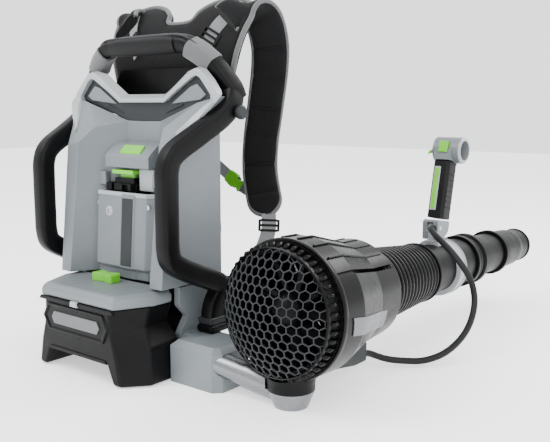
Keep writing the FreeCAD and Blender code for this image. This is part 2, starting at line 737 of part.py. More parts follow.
def battery_case():
    """Arch-shaped case; its sides are chamfered in plan and its feet flare outward."""
    half, back, front = D.battery_half, D.battery_back, D.battery_front
    low, foot = D.battery_lift, D.battery_foot
    plan = [(-78, back), (78, back), (half, back + 54), (half, front), (-half, front), (-half, back + 54)]
    body = prism("battery_case", "XY_Plane", low, D.ledge_low - low, [plan])
    flare = [(half - 1, 88), (foot, 30), (foot, low), (half - 1, low)]
    for mirror in (1, -1):
        extrude(body, "XZ_Plane", back + 58, 38, [[(x * mirror, z) for x, z in flare]])
    arch = D.arch_half
    under = [(-(arch + 12), low - 1), (-arch, D.arch_height), (arch, D.arch_height), (arch + 12, low - 1)]
    cut_prism(body, "XZ_Plane", back - 1, front - back + 2, [under])
    inner = half - 20
    cells = [(-inner, back + 44), (inner, back + 44), (inner, front - 5), (-inner, front - 5)]
    cut_prism(body, "XY_Plane", 40, 80, [cells])


def battery_top():
    """Light ledge that closes the case."""
    half, back, front = D.battery_half + 1, D.battery_back - 1, D.battery_front
    plan = [(-88, back), (88, back), (half, back + 60), (half, front - 1), (-half, front - 1),
            (-half, back + 60)]
    body = prism("battery_top", "XY_Plane", D.ledge_low, D.ledge_top - D.ledge_low, [plan])
    round_edges(body, 8, lambda e: abs(e.BoundBox.ZMin - float(D.ledge_top)) < 0.01
                and e.CenterOfMass.y < float(front) - 5, "Chamfer")


def battery_stem():
    """Contact stem that slides up inside the stem cover."""
    body = box("battery_stem", (-46, D.column_front + 6, D.ledge_low + 2), (46, D.bay_back - 6, 262))
    slots = [[(x, D.column_front + 10), (x + 5, D.column_front + 10), (x + 5, D.bay_back - 9),
              (x, D.bay_back - 9)] for x in (-34, -20, -6, 8, 22)]
    cut_prism(body, "XY_Plane", 240, 30, slots)
    extrude(body, "XY_Plane", D.ledge_low, 8, [[(-46, D.battery_front - 1), (46, D.battery_front - 1),
                                               (46, D.bay_back - 6), (-46, D.bay_back - 6)]])


def battery_badge():
    """Plain raised plate on the rear of the case."""
    back = D.battery_back
    plate = [(-72, 78), (-64, 70), (56, 70), (64, 78), (64, 96), (56, 104), (-64, 104), (-72, 96)]
    prism("battery_badge", "XZ_Plane", back - 3, 3, [plate])


def cell_pack():
    """Round cells in the case."""
    cells = []
    for row in range(2):
        for column in range(8):
            centre = Vector(-77 + 22 * column, -100 + 22 * row, 42)
            cells.append(Part.makeCylinder(10.5, 70, centre))
    feature_node("cell_pack", Part.makeCompound(cells))


def lock_knob():
    """Bow-tie knob on the ledge, a quarter turn of which locks the battery."""
    body = new_body("lock_knob", Placement(Vector(-8, -92, float(D.ledge_top) + 0.3), Rotation()))
    wings = [(-24, -9), (-20, -12), (0, -5), (20, -12), (24, -9), (24, 9), (20, 12), (0, 5), (-20, 12),
             (-24, 9)]
    extrude(body, "XY_Plane", 0, 14, [wings])
    round_edges(body, 4, lambda e: e.BoundBox.ZMin > 13.9 and is_along(e, Vector(0, 1, 0)))


# ---------------------------------------------------------------- blower

def intake_grille():
    """Domed grille with hexagonal openings."""
    radius, rise = float(D.grille_radius), float(D.grille_rise)
    sphere = (radius ** 2 + rise ** 2) / (2 * rise)
    centre = Vector(0, sphere - rise, 0)
    thick = 2.5
    outer = Part.makeSphere(sphere, centre)
    inner = Part.makeSphere(sphere - thick, centre)
    slab = Part.makeCylinder(radius - 2, rise + 5, Vector(0, -rise - 5, 0), Vector(0, 1, 0))
    dome = outer.cut(inner).common(slab)
    pitch, rib = float(D.grille_pitch), float(D.grille_rib)
    across = (pitch - rib) / math.sqrt(3)
    hexagons = []
    rows = int(radius / (pitch * 0.866)) + 1
    for j in range(-rows, rows + 1):
        for i in range(-rows, rows + 1):
            x = (i + 0.5 * (j % 2)) * pitch
            z = j * pitch * math.sqrt(3) / 2
            if math.hypot(x, z) > radius - 12:
                continue
            ring = [Vector(x + across * math.sin(math.radians(60 * k)), -rise - 5,
                           z + across * math.cos(math.radians(60 * k))) for k in range(7)]
            hexagons.append(Part.Face(Part.makePolygon(ring)).extrude(Vector(0, rise + 5, 0)))
    dome = dome.cut(Part.makeCompound(hexagons))
    rim = Part.makeCylinder(radius, 8, Vector(0, -4, 0), Vector(0, 1, 0)).cut(
        Part.makeCylinder(radius - 5, 8, Vector(0, -4, 0), Vector(0, 1, 0)))
    feature_node("intake_grille", dome.fuse(rim).removeSplitter(), blower_line)


def louvre_ring():
    """Ring of radial slots behind the grille."""
    outer, inner = D.housing_radius, D.grille_radius - 7
    body = turned("louvre_ring", [(inner, 4), (outer - 3, 4), (outer, 8), (outer, 20), (inner, 20)],
                  placement=blower_line)
    sketch = new_sketch(body, "XY_Plane", 0)
    outline(sketch, [(outer - 8, 7), (outer + 1, 7), (outer + 1, 17), (outer - 8, 17)])
    pocket = body.newObject("PartDesign::Pocket", "louvre_slot")
    pocket.Profile = sketch
    pocket.Midplane = True
    pocket.Length = 5
    doc.recompute()
    pattern = body.newObject("PartDesign::PolarPattern", "louvre_pattern")
    pattern.Originals = [pocket]
    pattern.Axis = (origin_feature(body, "Y_Axis"), [""])
    pattern.Angle = 360
    pattern.Occurrences = 48
    body.Tip = pattern
    doc.recompute()


def duct_parts():
    """Fan housing and motor duct, both hollow."""
    outer, duct, wall = D.housing_radius, D.duct_radius, D.wall - 1
    turned("fan_housing", [(outer, 20.3), (outer, 70), (duct + 4, 142), (duct + 4, 160),
                           (duct + 4 - wall, 160), (duct + 4 - wall, 142), (outer - wall, 70),
                           (outer - wall, 20.3)], placement=blower_line)
    end = D.bellows_start
    turned("motor_duct", [(duct, 160.3), (duct, end - 26), (duct + 4, end - 26), (duct + 4, end - 0.2),
                          (duct - 8, end - 0.2), (duct - 8, end - 6), (duct - wall, end - 9),
                          (duct - wall, 160.3)], placement=blower_line)


def partial_shell(label, corners, first, sweep):
    """A shroud that covers part of the way round the blower line; first is its start angle from +X."""
    turn = Rotation(Vector(0, 1, 0), -first)
    place = blower_line.multiply(Placement(Vector(0, 0, 0), turn))
    body = new_body(label, place)
    feature = turn_profile(body, corners, "Y_Axis", sweep)
    feature.Reversed = True
    doc.recompute()


def shrouds():
    outer, duct = D.housing_radius + 0.4, D.duct_radius + 4.4
    partial_shell("upper_housing", [(outer, 24), (outer + 3, 24), (outer + 3, 70), (duct + 12, 150),
                                    (duct + 12, 196), (duct, 206), (duct, 150), (outer, 70)], 38, 132)
    partial_shell("side_cover", [(outer, 28), (outer + 4, 28), (outer + 4, 72), (duct + 12, 150),
                                 (duct + 6, 214), (duct + 1, 214), (duct, 150), (outer, 70)], -62, 96)


def cable_fin():
    """Fin under the housing that carries the control cable out."""
    top = -(D.duct_radius + 4.4)
    profile = [(75, top - 26), (142, top), (212, top), (222, top - 16), (222, -116), (190, -117),
               (120, -108), (75, -112)]
    prism("cable_fin", "YZ_Plane", -8, 22, [profile], placement=blower_line)


def upper_collar():
    """Swivel collar under the fan housing, over the lower collar's spigot."""
    pivot = Placement(Vector(float(D.pivot_x), float(D.pivot_y), 0), Rotation())
    body = turned("collar_blank", [(D.spigot_radius + 0.05, D.swivel_z + 0.1),
                                   (D.collar_radius, D.swivel_z + 0.1), (D.collar_radius + 4, 66),
                                   (D.spigot_radius + 0.05, 66)], "Z_Axis", pivot)
    envelope = cylinder("housing_envelope", D.housing_radius + 0.1, 140,
                        blower_line.multiply(Placement(Vector(0, -10, 0), Rotation(Vector(1, 0, 0), -90))))
    cut_node("upper_collar", body, envelope)


def fan_and_motor():
    """Impeller on its shaft, and the motor in the middle of the duct."""
    body = turned("fan_impeller", [(5, 30), (26, 30), (32, 40), (32, 58), (5, 58)], placement=blower_line)
    sketch = new_sketch(body, "YZ_Plane", 28)
    outline(sketch, [(34, -5), (38, -10), (56, 6), (54, 10)])
    blade = body.newObject("PartDesign::Pad", "fan_blade")
    blade.Profile = sketch
    blade.Length = 60
    doc.recompute()
    pattern = body.newObject("PartDesign::PolarPattern", "fan_blades")
    pattern.Originals = [blade]
    pattern.Axis = (origin_feature(body, "Y_Axis"), [""])
    pattern.Angle = 360
    pattern.Occurrences = 9
    body.Tip = pattern
    doc.recompute()
    turned("fan_shaft", [(0, 26), (5, 26), (5, 140), (0, 140)], placement=blower_line)
    motor = turned("motor_stator", [(5.05, 64), (30, 64), (30, 132), (5.05, 132)], placement=blower_line)
    sketch = new_sketch(motor, "XY_Plane", 0)
    outline(sketch, [(29, 84), (88.2, 84), (71.7, 128), (29, 128)])
    vane = motor.newObject("PartDesign::Pad", "motor_vane")
    vane.Profile = sketch
    vane.Length = 3
    vane.Midplane = True
    doc.recompute()
    pattern = motor.newObject("PartDesign::PolarPattern", "motor_vanes")
    pattern.Originals = [vane]
    pattern.Axis = (origin_feature(motor, "Y_Axis"), [""])
    pattern.Angle = 360
    pattern.Occurrences = 6
    motor.Tip = pattern
    doc.recompute()


# ---------------------------------------------------------------- tube, nozzle and handle

def bellows():
    """Corrugated rubber duct between the blower and the tube."""
    start, end = float(D.bellows_start), float(D.bellows_end)
    near, far = float(D.bellows_near), float(D.bellows_far)
    count = int(float(D.ridge_count))
    depth, wall = 7.0, 2.0
    pitch = (end - start) / count
    outer = []
    for i in range(count):
        ridge = near + (far - near) * (i + 0.5) / count
        base = start + pitch * i
        outer += [(ridge - depth, base), (ridge, base + 0.35 * pitch), (ridge, base + 0.65 * pitch)]
    outer.append((far - depth, end))
    inner = [(radius - wall, station) for radius, station in reversed(outer)]
    points = [Vector(r, s, 0) for r, s in outer + inner]
    face = Part.Face(Part.makePolygon(points + [points[0]]))
    feature_node("bellows", face.revolve(Vector(0, 0, 0), Vector(0, 1, 0), 360), blower_line)


def tubes():
    tube, far = D.tube_radius, D.far_radius
    end = D.bellows_end
    turned("inner_tube", [(tube - 3, end + 0.3), (D.bellows_far, end + 0.3), (D.bellows_far, end + 8),
                          (tube, end + 14), (tube, D.coupling_start), (tube - 3, D.coupling_start)],
           placement=blower_line)
    start = D.coupling_start
    turned("far_tube", [(far - 3, start + 0.3), (tube + 4, start + 0.3), (tube + 4, start + 12),
                        (tube + 1, start + 14), (tube + 1, start + 30), (tube + 5, start + 32),
                        (tube + 5, start + 44), (far + 2, start + 52), (far, start + 56),
                        (far, D.nozzle_start + 22), (far - 3, D.nozzle_start + 22)], placement=blower_line)
    nose = D.nozzle_start
    fit = D.far_radius + 0.1
    turned("nozzle", [(fit, nose), (fit + 4, nose), (fit + 4, nose + 18), (fit + 1, nose + 22),
                      (fit - 1, nose + 90), (D.nozzle_radius + 1, nose + 110),
                      (D.nozzle_radius, D.nozzle_end), (D.outlet_radius, D.nozzle_end),
                      (D.outlet_radius, D.nozzle_end - 60),
                      (fit - 4, nose + 70), (fit - 4, nose + 22 + D.gap), (fit, nose + 22 + D.gap)],
           placement=blower_line)


def tube_clamp():
    """Clamp round the tube, with the tongue that the handle tilts on."""
    station, tube = D.clamp_station, D.tube_radius + 0.2
    body = turned("tube_clamp", [(tube, station - 13), (tube + 7, station - 13), (tube + 7, station + 13),
                                 (tube, station + 13)], placement=blower_line)
    ring_top = 50
    flat = 47
    saddle = [(station - 30, ring_top - 8), (station + 10, ring_top - 8), (station + 10, flat + 3),
              (station - 30, flat + 3)]
    extrude(body, "YZ_Plane", -14, 28, [saddle])
    hinge = blower_line.inverse().multVec(Vector(float(D.axis_x), float(D.hinge_y), float(D.hinge_z)))
    tongue = [(hinge.y - 9, flat + 2), (hinge.y + 9, flat + 2), (hinge.y + 9, hinge.z + 4),
              (hinge.y + 4, hinge.z + 9), (hinge.y - 4, hinge.z + 9), (hinge.y - 9, hinge.z + 4)]
    extrude(body, "YZ_Plane", -5.5, 11, [tongue])
    cut_prism(body, "YZ_Plane", -6, 12, circles=[(hinge.y, hinge.z, 4.05)])
    bore = body.newObject("PartDesign::Groove", "clamp_bore")
    sketch = new_sketch(body, "XY_Plane")
    outline(sketch, [(0, station - 40), (tube, station - 40), (tube, station + 20), (0, station + 20)])
    bore.Profile = sketch
    bore.ReferenceAxis = (origin_feature(body, "Y_Axis"), [""])
    bore.Angle = 360
    body.Tip = bore
    doc.recompute()


def handle():
    """Knuckle, pin, grip and head of the control handle."""
    x, y, z = D.axis_x, D.hinge_y, D.hinge_z
    block = [(y - 12, z - 20.5), (y + 14, z - 20.5), (y + 30, z - 10), (y + 34, z + 3), (y + 32, z + 9),
             (y - 5, z + 15), (y - 12, z + 12)]
    knuckle = prism("handle_knuckle", "YZ_Plane", x - 15, 30, [block])
    slot = [(y - 14, z - 22), (y + 16, z - 22), (y + 16, z + 11), (y - 14, z + 11)]
    cut_prism(knuckle, "YZ_Plane", x - 6, 12, [slot])
    cut_prism(knuckle, "YZ_Plane", x - 15, 30, circles=[(y, z, 4.0)])
    across = Placement(Vector(float(x) - 15, float(y), float(z)), Rotation(UP, Vector(1, 0, 0)))
    keep(cylinder("hinge_pin", 4.0, 30, across), "hinge_pin")
    lean = Placement(Vector(float(x), 398, 216), Rotation(Vector(1, 0, 0), -float(D.grip_lean)))
    section = [(-12, -19), (12, -19), (16, -12), (16, 12), (12, 19), (-12, 19), (-16, 12), (-16, -12)]
    grip = prism("grip", "XY_Plane", 2.5, 103, [section], placement=lean)
    cut_prism(grip, "XY_Plane", 46, 44, [[(-6, 1), (6, 1), (6, 20), (-6, 20)]])
    cut_prism(grip, "XY_Plane", 18, 76, [[(-9, -20), (1, -20), (1, -17.5), (-9, -17.5)]])
    prism("grip_strip", "XY_Plane", 18.2, 75.6, [[(-8.8, -20), (0.8, -20), (0.8, -17.5), (-8.8, -17.5)]],
          placement=lean)
    head = new_body("control_head", lean)
    extrude(head, "YZ_Plane", -22, 50, circles=[(8, 130, 24)])
    extrude(head, "YZ_Plane", 28, 2, circles=[(8, 130, 20)])
    extrude(head, "XY_Plane", 109, 21, [[(-16, -18), (16, -18), (16, 30), (-16, 30)]])
    cut_prism(head, "XZ_Plane", -30, 25, [[(-8, 122), (10, 122), (10, 143), (-8, 143)]])
    prism("boost_button", "XZ_Plane", -21, 12, [[(-8 + D.gap, 122 + D.gap), (10 - D.gap, 122 + D.gap),
                                                (10 - D.gap, 143 - D.gap), (-8 + D.gap, 143 - D.gap)]],
          placement=lean)
    prism("trigger", "YZ_Plane", -5.5, 11, [[(9, 47), (17, 47), (30, 60), (27, 74), (20, 88), (9, 88)]],
          placement=lean)
    extrude(head, "YZ_Plane", -26, 4, circles=[(8, 130, 3)])
    lever = prism("cruise_lever", "YZ_Plane", -25.5, 3, circles=[(8, 130, 7), (8, 130, 3.05)],
                  placement=lean)
    extrude(lever, "YZ_Plane", -25.5, 3, [[(2.5, 126), (2.5, 133), (-22, 123), (-26, 116)]])


def cable_route():
    """Middle line of the control cable, from the fin up to the handle's knuckle."""
    route = [(336, 139.3, 27.2), (336, 156, 26.6), (343, 169, 20), (358, 184, 12), (380, 203, 9),
             (406, 222, 9), (430, 256, 20), (441, 304, 46), (438, 340, 84), (426, 350, 122),
             (408, 340, 154), (388, 330, 180), (364, 328, 200), (347, 338, 208), (340, 351, 205),
             (340, 367.9, 205)]
    return [Vector(*point) for point in route]


def control_cable():
    feature_node("control_cable", tube_along(cable_route(), float(D.cable_radius)))


for build in (base_frame, back_plate, shell, top_rim, rim_liner, column_cover, latch_block, release_button,
              terminal_block, ejector_cap, controller_board, side_bars, top_handle, handle_grip,
              handle_loops, hanger_stud, support_arm, cover_screws, harness_pads, shoulder_straps,
              webbing, chest_strap, battery_case, battery_top, battery_stem, battery_badge, cell_pack,
              lock_knob, intake_grille, louvre_ring, duct_parts, shrouds, cable_fin, upper_collar,
              fan_and_motor, bellows, tubes, tube_clamp, handle, control_cable):
    build()
doc.recompute()

for item in doc.Objects:
    if "Invalid" in item.State or "Error" in item.State:
        raise RuntimeError("%s failed: %s" % (item.Label, item.State))
for node in nodes:
    if node.Shape.isNull() or not node.Shape.isValid():
        raise RuntimeError("%s has no valid shape" % node.Label)
    node.Shape.exportStep(os.path.join("parts", node.Label + ".step"))
print("%d nodes" % len(nodes))
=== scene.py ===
"""Looks of the backpack leaf blower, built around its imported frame. Metres, +Z up, +Y the way it blows."""

import json
import math

import bmesh
import bpy
from mathutils import Matrix, Vector, noise

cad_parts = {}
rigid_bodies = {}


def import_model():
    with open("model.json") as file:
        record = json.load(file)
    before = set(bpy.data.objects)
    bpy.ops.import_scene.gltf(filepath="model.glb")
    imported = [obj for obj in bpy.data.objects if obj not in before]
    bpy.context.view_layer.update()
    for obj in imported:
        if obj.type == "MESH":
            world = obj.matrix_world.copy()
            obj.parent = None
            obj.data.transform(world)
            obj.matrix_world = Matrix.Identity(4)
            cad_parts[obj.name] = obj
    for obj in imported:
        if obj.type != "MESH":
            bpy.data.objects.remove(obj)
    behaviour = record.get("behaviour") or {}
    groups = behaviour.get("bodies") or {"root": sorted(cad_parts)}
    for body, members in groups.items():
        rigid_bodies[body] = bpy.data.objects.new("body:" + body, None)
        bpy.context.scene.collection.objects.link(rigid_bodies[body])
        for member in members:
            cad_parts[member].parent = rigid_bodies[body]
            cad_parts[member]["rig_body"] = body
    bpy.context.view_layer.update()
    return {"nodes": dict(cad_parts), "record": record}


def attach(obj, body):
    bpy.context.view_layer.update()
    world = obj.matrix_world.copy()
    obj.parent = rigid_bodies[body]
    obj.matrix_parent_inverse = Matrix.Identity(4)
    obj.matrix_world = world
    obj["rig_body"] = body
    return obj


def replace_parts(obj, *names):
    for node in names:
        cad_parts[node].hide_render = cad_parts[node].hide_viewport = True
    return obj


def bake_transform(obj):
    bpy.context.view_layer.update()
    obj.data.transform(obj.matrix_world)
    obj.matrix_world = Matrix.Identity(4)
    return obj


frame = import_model()
NODES = frame["nodes"]
SLOT_OF = {s["node"]: s["material_slot"] for s in frame["record"]["subparts"]}
BODY_OF = {n: b for b, ns in frame["record"]["behaviour"]["bodies"].items() for n in ns}
UP = Vector((0, 0, 1))
MM = 0.001
SIDES = (("right", 1), ("left", -1))

# The blower line: stations are measured along it from the plane of the intake.
LINE_BASE = Vector((0.333, -0.080, 0.141))
LINE = Matrix.Translation(LINE_BASE) @ Matrix.Rotation(math.radians(-1.5), 4, "X")
# The control handle's own frame: Z up the grip, Y forward.
LEAN = Matrix.Translation((0.333, 0.398, 0.216)) @ Matrix.Rotation(math.radians(-12.5), 4, "X")


# ---------------------------------------------------------------- materials

def srgb(red, green, blue):
    """A colour given as eight-bit values, as the linear values that a shader takes."""
    def linear(value):
        value /= 255
        return value / 12.92 if value <= 0.04045 else ((value + 0.055) / 1.055) ** 2.4
    return (linear(red), linear(green), linear(blue), 1.0)


class Nodes:
    """A material under construction: its tree, its shader and its object coordinates."""

    def __init__(self, name, **shader):
        self.material = bpy.data.materials.new(name)
        self.material.use_nodes = True
        self.tree = self.material.node_tree
        self.shader = self.tree.nodes["Principled BSDF"]
        for socket, value in shader.items():
            self.shader.inputs[socket.replace("_", " ")].default_value = value
        self.place = self.add("ShaderNodeTexCoord").outputs["Object"]

    def add(self, kind, **values):
        node = self.tree.nodes.new(kind)
        for key, value in values.items():
            if hasattr(node, key):
                setattr(node, key, value)
            else:
                node.inputs[key.replace("_", " ")].default_value = value
        return node

    def link(self, output, node, socket):
        self.tree.links.new(output, node.inputs[socket])

    def noise(self, scale, detail=2.0, roughness=0.5, stretch=None):
        node = self.add("ShaderNodeTexNoise", Scale=scale, Detail=detail, Roughness=roughness)
        source = self.place
        if stretch is not None:
            mapping = self.add("ShaderNodeMapping")
            mapping.inputs["Scale"].default_value = stretch
            self.link(source, mapping, "Vector")
            source = mapping.outputs["Vector"]
        self.link(source, node, "Vector")
        return node.outputs["Fac"]

    def cells(self, scale):
        node = self.add("ShaderNodeTexVoronoi", feature="F1", Scale=scale)
        self.link(self.place, node, "Vector")
        return node.outputs["Distance"]

    def remap(self, value, low, high, to_low, to_high):
        node = self.add("ShaderNodeMapRange", From_Min=low, From_Max=high, To_Min=to_low, To_Max=to_high)
        self.link(value, node, "Value")
        return node.outputs["Result"]

    def ramp(self, value, stops):
        node = self.add("ShaderNodeValToRGB")
        elements = node.color_ramp.elements
        while len(elements) < len(stops):
            elements.new(0.5)
        for element, (position, colour) in zip(elements, stops):
            element.position = position
            element.color = colour
        self.link(value, node, "Fac")
        return node.outputs["Color"]

    def mix(self, share, first, second):
        node = self.add("ShaderNodeMix", data_type="RGBA")
        self.link(share, node, "Factor")
        for socket, value in (("A", first), ("B", second)):
            target = [s for s in node.inputs if s.name == socket and s.type == "RGBA"][0]
            if isinstance(value, bpy.types.NodeSocket):
                self.tree.links.new(value, target)
            else:
                target.default_value = value
        return [s for s in node.outputs if s.type == "RGBA"][0]

    def maths(self, operation, first, second):
        node = self.add("ShaderNodeMath", operation=operation)
        for index, value in enumerate((first, second)):
            if isinstance(value, bpy.types.NodeSocket):
                self.tree.links.new(value, node.inputs[index])
            else:
                node.inputs[index].default_value = value
        return node.outputs["Value"]

    def bump(self, height, distance, strength=1.0, over=None):
        node = self.add("ShaderNodeBump", Strength=strength, Distance=distance)
        self.link(height, node, "Height")
        if over is not None:
            self.link(over, node, "Normal")
        self.link(node.outputs["Normal"], self.shader, "Normal")
        return node.outputs["Normal"]


def tint(colour, factor):
    """A colour made lighter or darker."""
    return (colour[0] * factor, colour[1] * factor, colour[2] * factor, 1.0)


def moulded(name, colour, roughness, grain=0.00006, grain_scale=2200.0, spread=0.10, coat=0.0, shine=0.5):
    """Moulded plastic: pebble grain, slow flow-mark tone changes, and a rubbed, uneven gloss."""
    m = Nodes(name, Roughness=roughness, Coat_Weight=coat, Coat_Roughness=0.12, Specular_IOR_Level=shine)
    slow = m.noise(7.0, detail=3.0)
    tone = m.ramp(slow, [(0.3, tint(colour, 1 - spread)), (0.7, tint(colour, 1 + spread))])
    m.link(tone, m.shader, "Base Color")
    rubbed = m.noise(38.0, detail=5.0, roughness=0.65)
    m.link(m.remap(rubbed, 0.35, 0.7, roughness * 0.86, min(1.0, roughness * 1.16)), m.shader, "Roughness")
    fine = m.bump(m.noise(grain_scale, detail=1.0), grain)
    m.bump(slow, 0.0006, 0.5, over=fine)
    return m.material


def metal(name, colour, roughness, brushed=(1.0, 1.0, 1.0), scale=420.0):
    """Satin metal with fine lines drawn out along the axes where the stretch is small."""
    m = Nodes(name, Metallic=1.0, Roughness=roughness)
    lines = m.noise(scale, detail=4.0, stretch=brushed)
    m.link(m.ramp(lines, [(0.25, tint(colour, 0.86)), (0.8, tint(colour, 1.08))]), m.shader, "Base Color")
    m.link(m.remap(lines, 0.3, 0.7, roughness * 0.8, roughness * 1.25), m.shader, "Roughness")
    m.bump(lines, 0.00005, 0.7)
    return m.material


def rubber(name, colour, roughness=0.55, grain=0.00008):
    """Soft rubber with a dusty bloom in places."""
    m = Nodes(name, Roughness=roughness, Sheen_Weight=0.02, Sheen_Roughness=0.5, Specular_IOR_Level=0.16)
    bloom = m.noise(16.0, detail=6.0, roughness=0.6)
    m.link(m.ramp(bloom, [(0.35, colour), (0.75, tint(colour, 1.8))]), m.shader, "Base Color")
    m.link(m.remap(bloom, 0.3, 0.7, roughness * 0.85, roughness * 1.1), m.shader, "Roughness")
    m.bump(m.noise(1500.0, detail=2.0), grain)
    return m.material


def woven(name, colour, thread, sheen=0.35):
    """Webbing: two crossed sets of threads with a little fuzz."""
    m = Nodes(name, Roughness=0.82, Sheen_Weight=sheen, Sheen_Roughness=0.45)
    waves = []
    for direction in ((1.0, 0.35, 0.2), (0.2, 0.5, 1.0)):
        split = m.add("ShaderNodeVectorMath", operation="DOT_PRODUCT")
        m.link(m.place, split, 0)
        split.inputs[1].default_value = direction
        phase = m.maths("MULTIPLY", split.outputs["Value"], 2 * math.pi / thread)
        waves.append(m.maths("SINE", phase, 0.0))
    weave = m.maths("MULTIPLY", waves[0], waves[1])
    fuzz = m.noise(900.0, detail=3.0)
    mixed = m.maths("ADD", m.remap(weave, -1.0, 1.0, 0.0, 1.0), m.remap(fuzz, 0.3, 0.7, -0.3, 0.3))
    m.link(m.ramp(mixed, [(0.1, tint(colour, 0.62)), (0.9, tint(colour, 1.2))]), m.shader, "Base Color")
    m.bump(mixed, 0.00035, 0.8)
    return m.material


def padded_mesh(name, colour):
    """Air-mesh cover of the pads: small dark holes between fuzzy black threads."""
    m = Nodes(name, Roughness=0.95, Sheen_Weight=0.06, Sheen_Roughness=0.5, Specular_IOR_Level=0.15)
    holes = m.remap(m.cells(420.0), 0.0, 0.55, 0.0, 1.0)
    slow = m.noise(11.0, detail=4.0)
    body = m.ramp(holes, [(0.15, tint(colour, 0.35)), (0.6, tint(colour, 1.25))])
    m.link(m.mix(m.remap(slow, 0.3, 0.75, 0.0, 0.45), body, tint(colour, 1.9)), m.shader, "Base Color")
    fine = m.bump(holes, 0.0005, 0.8)
    m.bump(slow, 0.003, 0.35, over=fine)
    return m.material


GREY = srgb(102, 108, 111)
MATERIALS = {
    "grey_shell": moulded("grey_shell", GREY, 0.42),
    "light_grey": moulded("light_grey", srgb(148, 153, 155), 0.32),
    "dark_grey": moulded("dark_grey", srgb(36, 39, 41), 0.44, shine=0.22),
    "black_plastic": moulded("black_plastic", srgb(5, 5, 6), 0.42, spread=0.2, shine=0.13),
    "gloss_black": moulded("gloss_black", srgb(4, 4, 5), 0.27, grain=0.00001, spread=0.2, shine=0.12),
    "soft_black": rubber("soft_black", srgb(6, 6, 7)),
    "bellows_rubber": rubber("bellows_rubber", srgb(6, 6, 7), 0.3, grain=0.00001),
    "green": moulded("green", srgb(98, 182, 34), 0.34, spread=0.08),
    "silver": metal("silver", srgb(124, 126, 129), 0.28, brushed=(0.08, 1.0, 1.0)),
    "steel": metal("steel", srgb(170, 170, 172), 0.3),
    "badge": moulded("badge", srgb(84, 87, 89), 0.38),
    "cells": moulded("cells", srgb(92, 98, 110), 0.4),
    "board": moulded("board", srgb(28, 78, 46), 0.5),
    "pad_fabric": padded_mesh("pad_fabric", srgb(13, 13, 14)),
    "webbing": woven("webbing", srgb(118, 119, 120), 0.0022),
    "dark_webbing": woven("dark_webbing", srgb(86, 87, 88), 0.0022),
    "cable_sleeve": rubber("cable_sleeve", srgb(20, 20, 21), 0.4),
}


def finish_of(piece, slot):
    """Give a piece the material of a record slot."""
    piece.data.materials.clear()
    piece.data.materials.append(MATERIALS[slot])
    return piece


for node_name, node in NODES.items():
    node.data.materials.clear()
    node.data.materials.append(MATERIALS[SLOT_OF[node_name]])


# ---------------------------------------------------------------- mesh tools

def placed(name, data):
    """An object made from its data and linked into the scene."""
    made = bpy.data.objects.new(name, data)
    bpy.context.scene.collection.objects.link(made)
    return made


def bridge(work, first, second):
    """Faces between two closed loops of corners."""
    for i in range(len(first)):
        j = (i + 1) % len(first)
        work.faces.new((first[i], first[j], second[j], second[i]))


def object_from(name, mesh_builder, slot, body, smooth=None):
    """A piece from a filled bmesh, riding on a body; smooth is the angle over which edges stay sharp."""
    mesh = bpy.data.meshes.new(name)
    bmesh.ops.recalc_face_normals(mesh_builder, faces=mesh_builder.faces)
    mesh_builder.to_mesh(mesh)
    mesh_builder.free()
    piece = placed(name, mesh)
    shade(piece, smooth)
    finish_of(piece, slot)
    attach(piece, body)
    return piece


def shade(piece, angle=None):
    """Smooth shading, with edges sharper than the angle kept."""
    mesh = piece.data
    mesh.polygons.foreach_set("use_smooth", [True] * len(mesh.polygons))
    if angle is not None:
        mesh.set_sharp_from_angle(angle=math.radians(angle))


def softened(name, width):
    """A CAD node's own shape with its edges rounded, in place of the node."""
    source = NODES[name]
    work = bmesh.new()
    work.from_mesh(source.data)
    bmesh.ops.remove_doubles(work, verts=work.verts, dist=0.00002)
    bmesh.ops.dissolve_limit(work, angle_limit=math.radians(1.5), verts=work.verts, edges=work.edges)
    piece = object_from(name + "_soft", work, SLOT_OF[name], BODY_OF[name])
    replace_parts(rounded(piece, width, limit=28), name)


def mm(x, y, z):
    """A point given in millimetres, in metres."""
    return Vector((x, y, z)) * MM


def faceted(name, corners, faces, slot, body, edge, thick=0.0):
    """A skin of flat faces, given by its right half in millimetres, with rounded edges. It can be thickened
    inwards."""
    work = bmesh.new()
    for side in (1, -1):
        points = [work.verts.new(mm(x * side, y, z)) for x, y, z in corners]
        for face in faces:
            work.faces.new([points[i] for i in face])
    bmesh.ops.remove_doubles(work, verts=work.verts, dist=0.0001)
    piece = object_from(name, work, slot, body)
    if thick:
        wall = piece.modifiers.new("wall", "SOLIDIFY")
        wall.thickness = thick
        wall.offset = -1
    return rounded(piece, edge)


def rounded(piece, width, limit=22):
    """Rounded edges that keep their flats flat; limit is the least angle of an edge, in degrees."""
    bevel = piece.modifiers.new("round", "BEVEL")
    bevel.width = width
    bevel.segments = 3
    bevel.limit_method = "ANGLE"
    bevel.angle_limit = math.radians(limit)
    piece.modifiers.new("normals", "WEIGHTED_NORMAL").keep_sharp = True
    return piece


def prism(name, plane, corners, low, high, slot, body, edge=0.0015, place=Matrix()):
    """A straight block: corners in one of the planes XY, XZ or YZ, and its two ends across the plane."""
    def lift(a, b, c):
        return {"XY": (a, b, c), "XZ": (a, c, b), "YZ": (c, a, b)}[plane]
    work = bmesh.new()
    ends = [[work.verts.new(place @ mm(*lift(a, b, c))) for a, b in corners] for c in (low, high)]
    for end in ends:
        work.faces.new(end)
    bridge(work, *ends)
    piece = object_from(name, work, slot, body)
    return rounded(piece, edge) if edge else piece


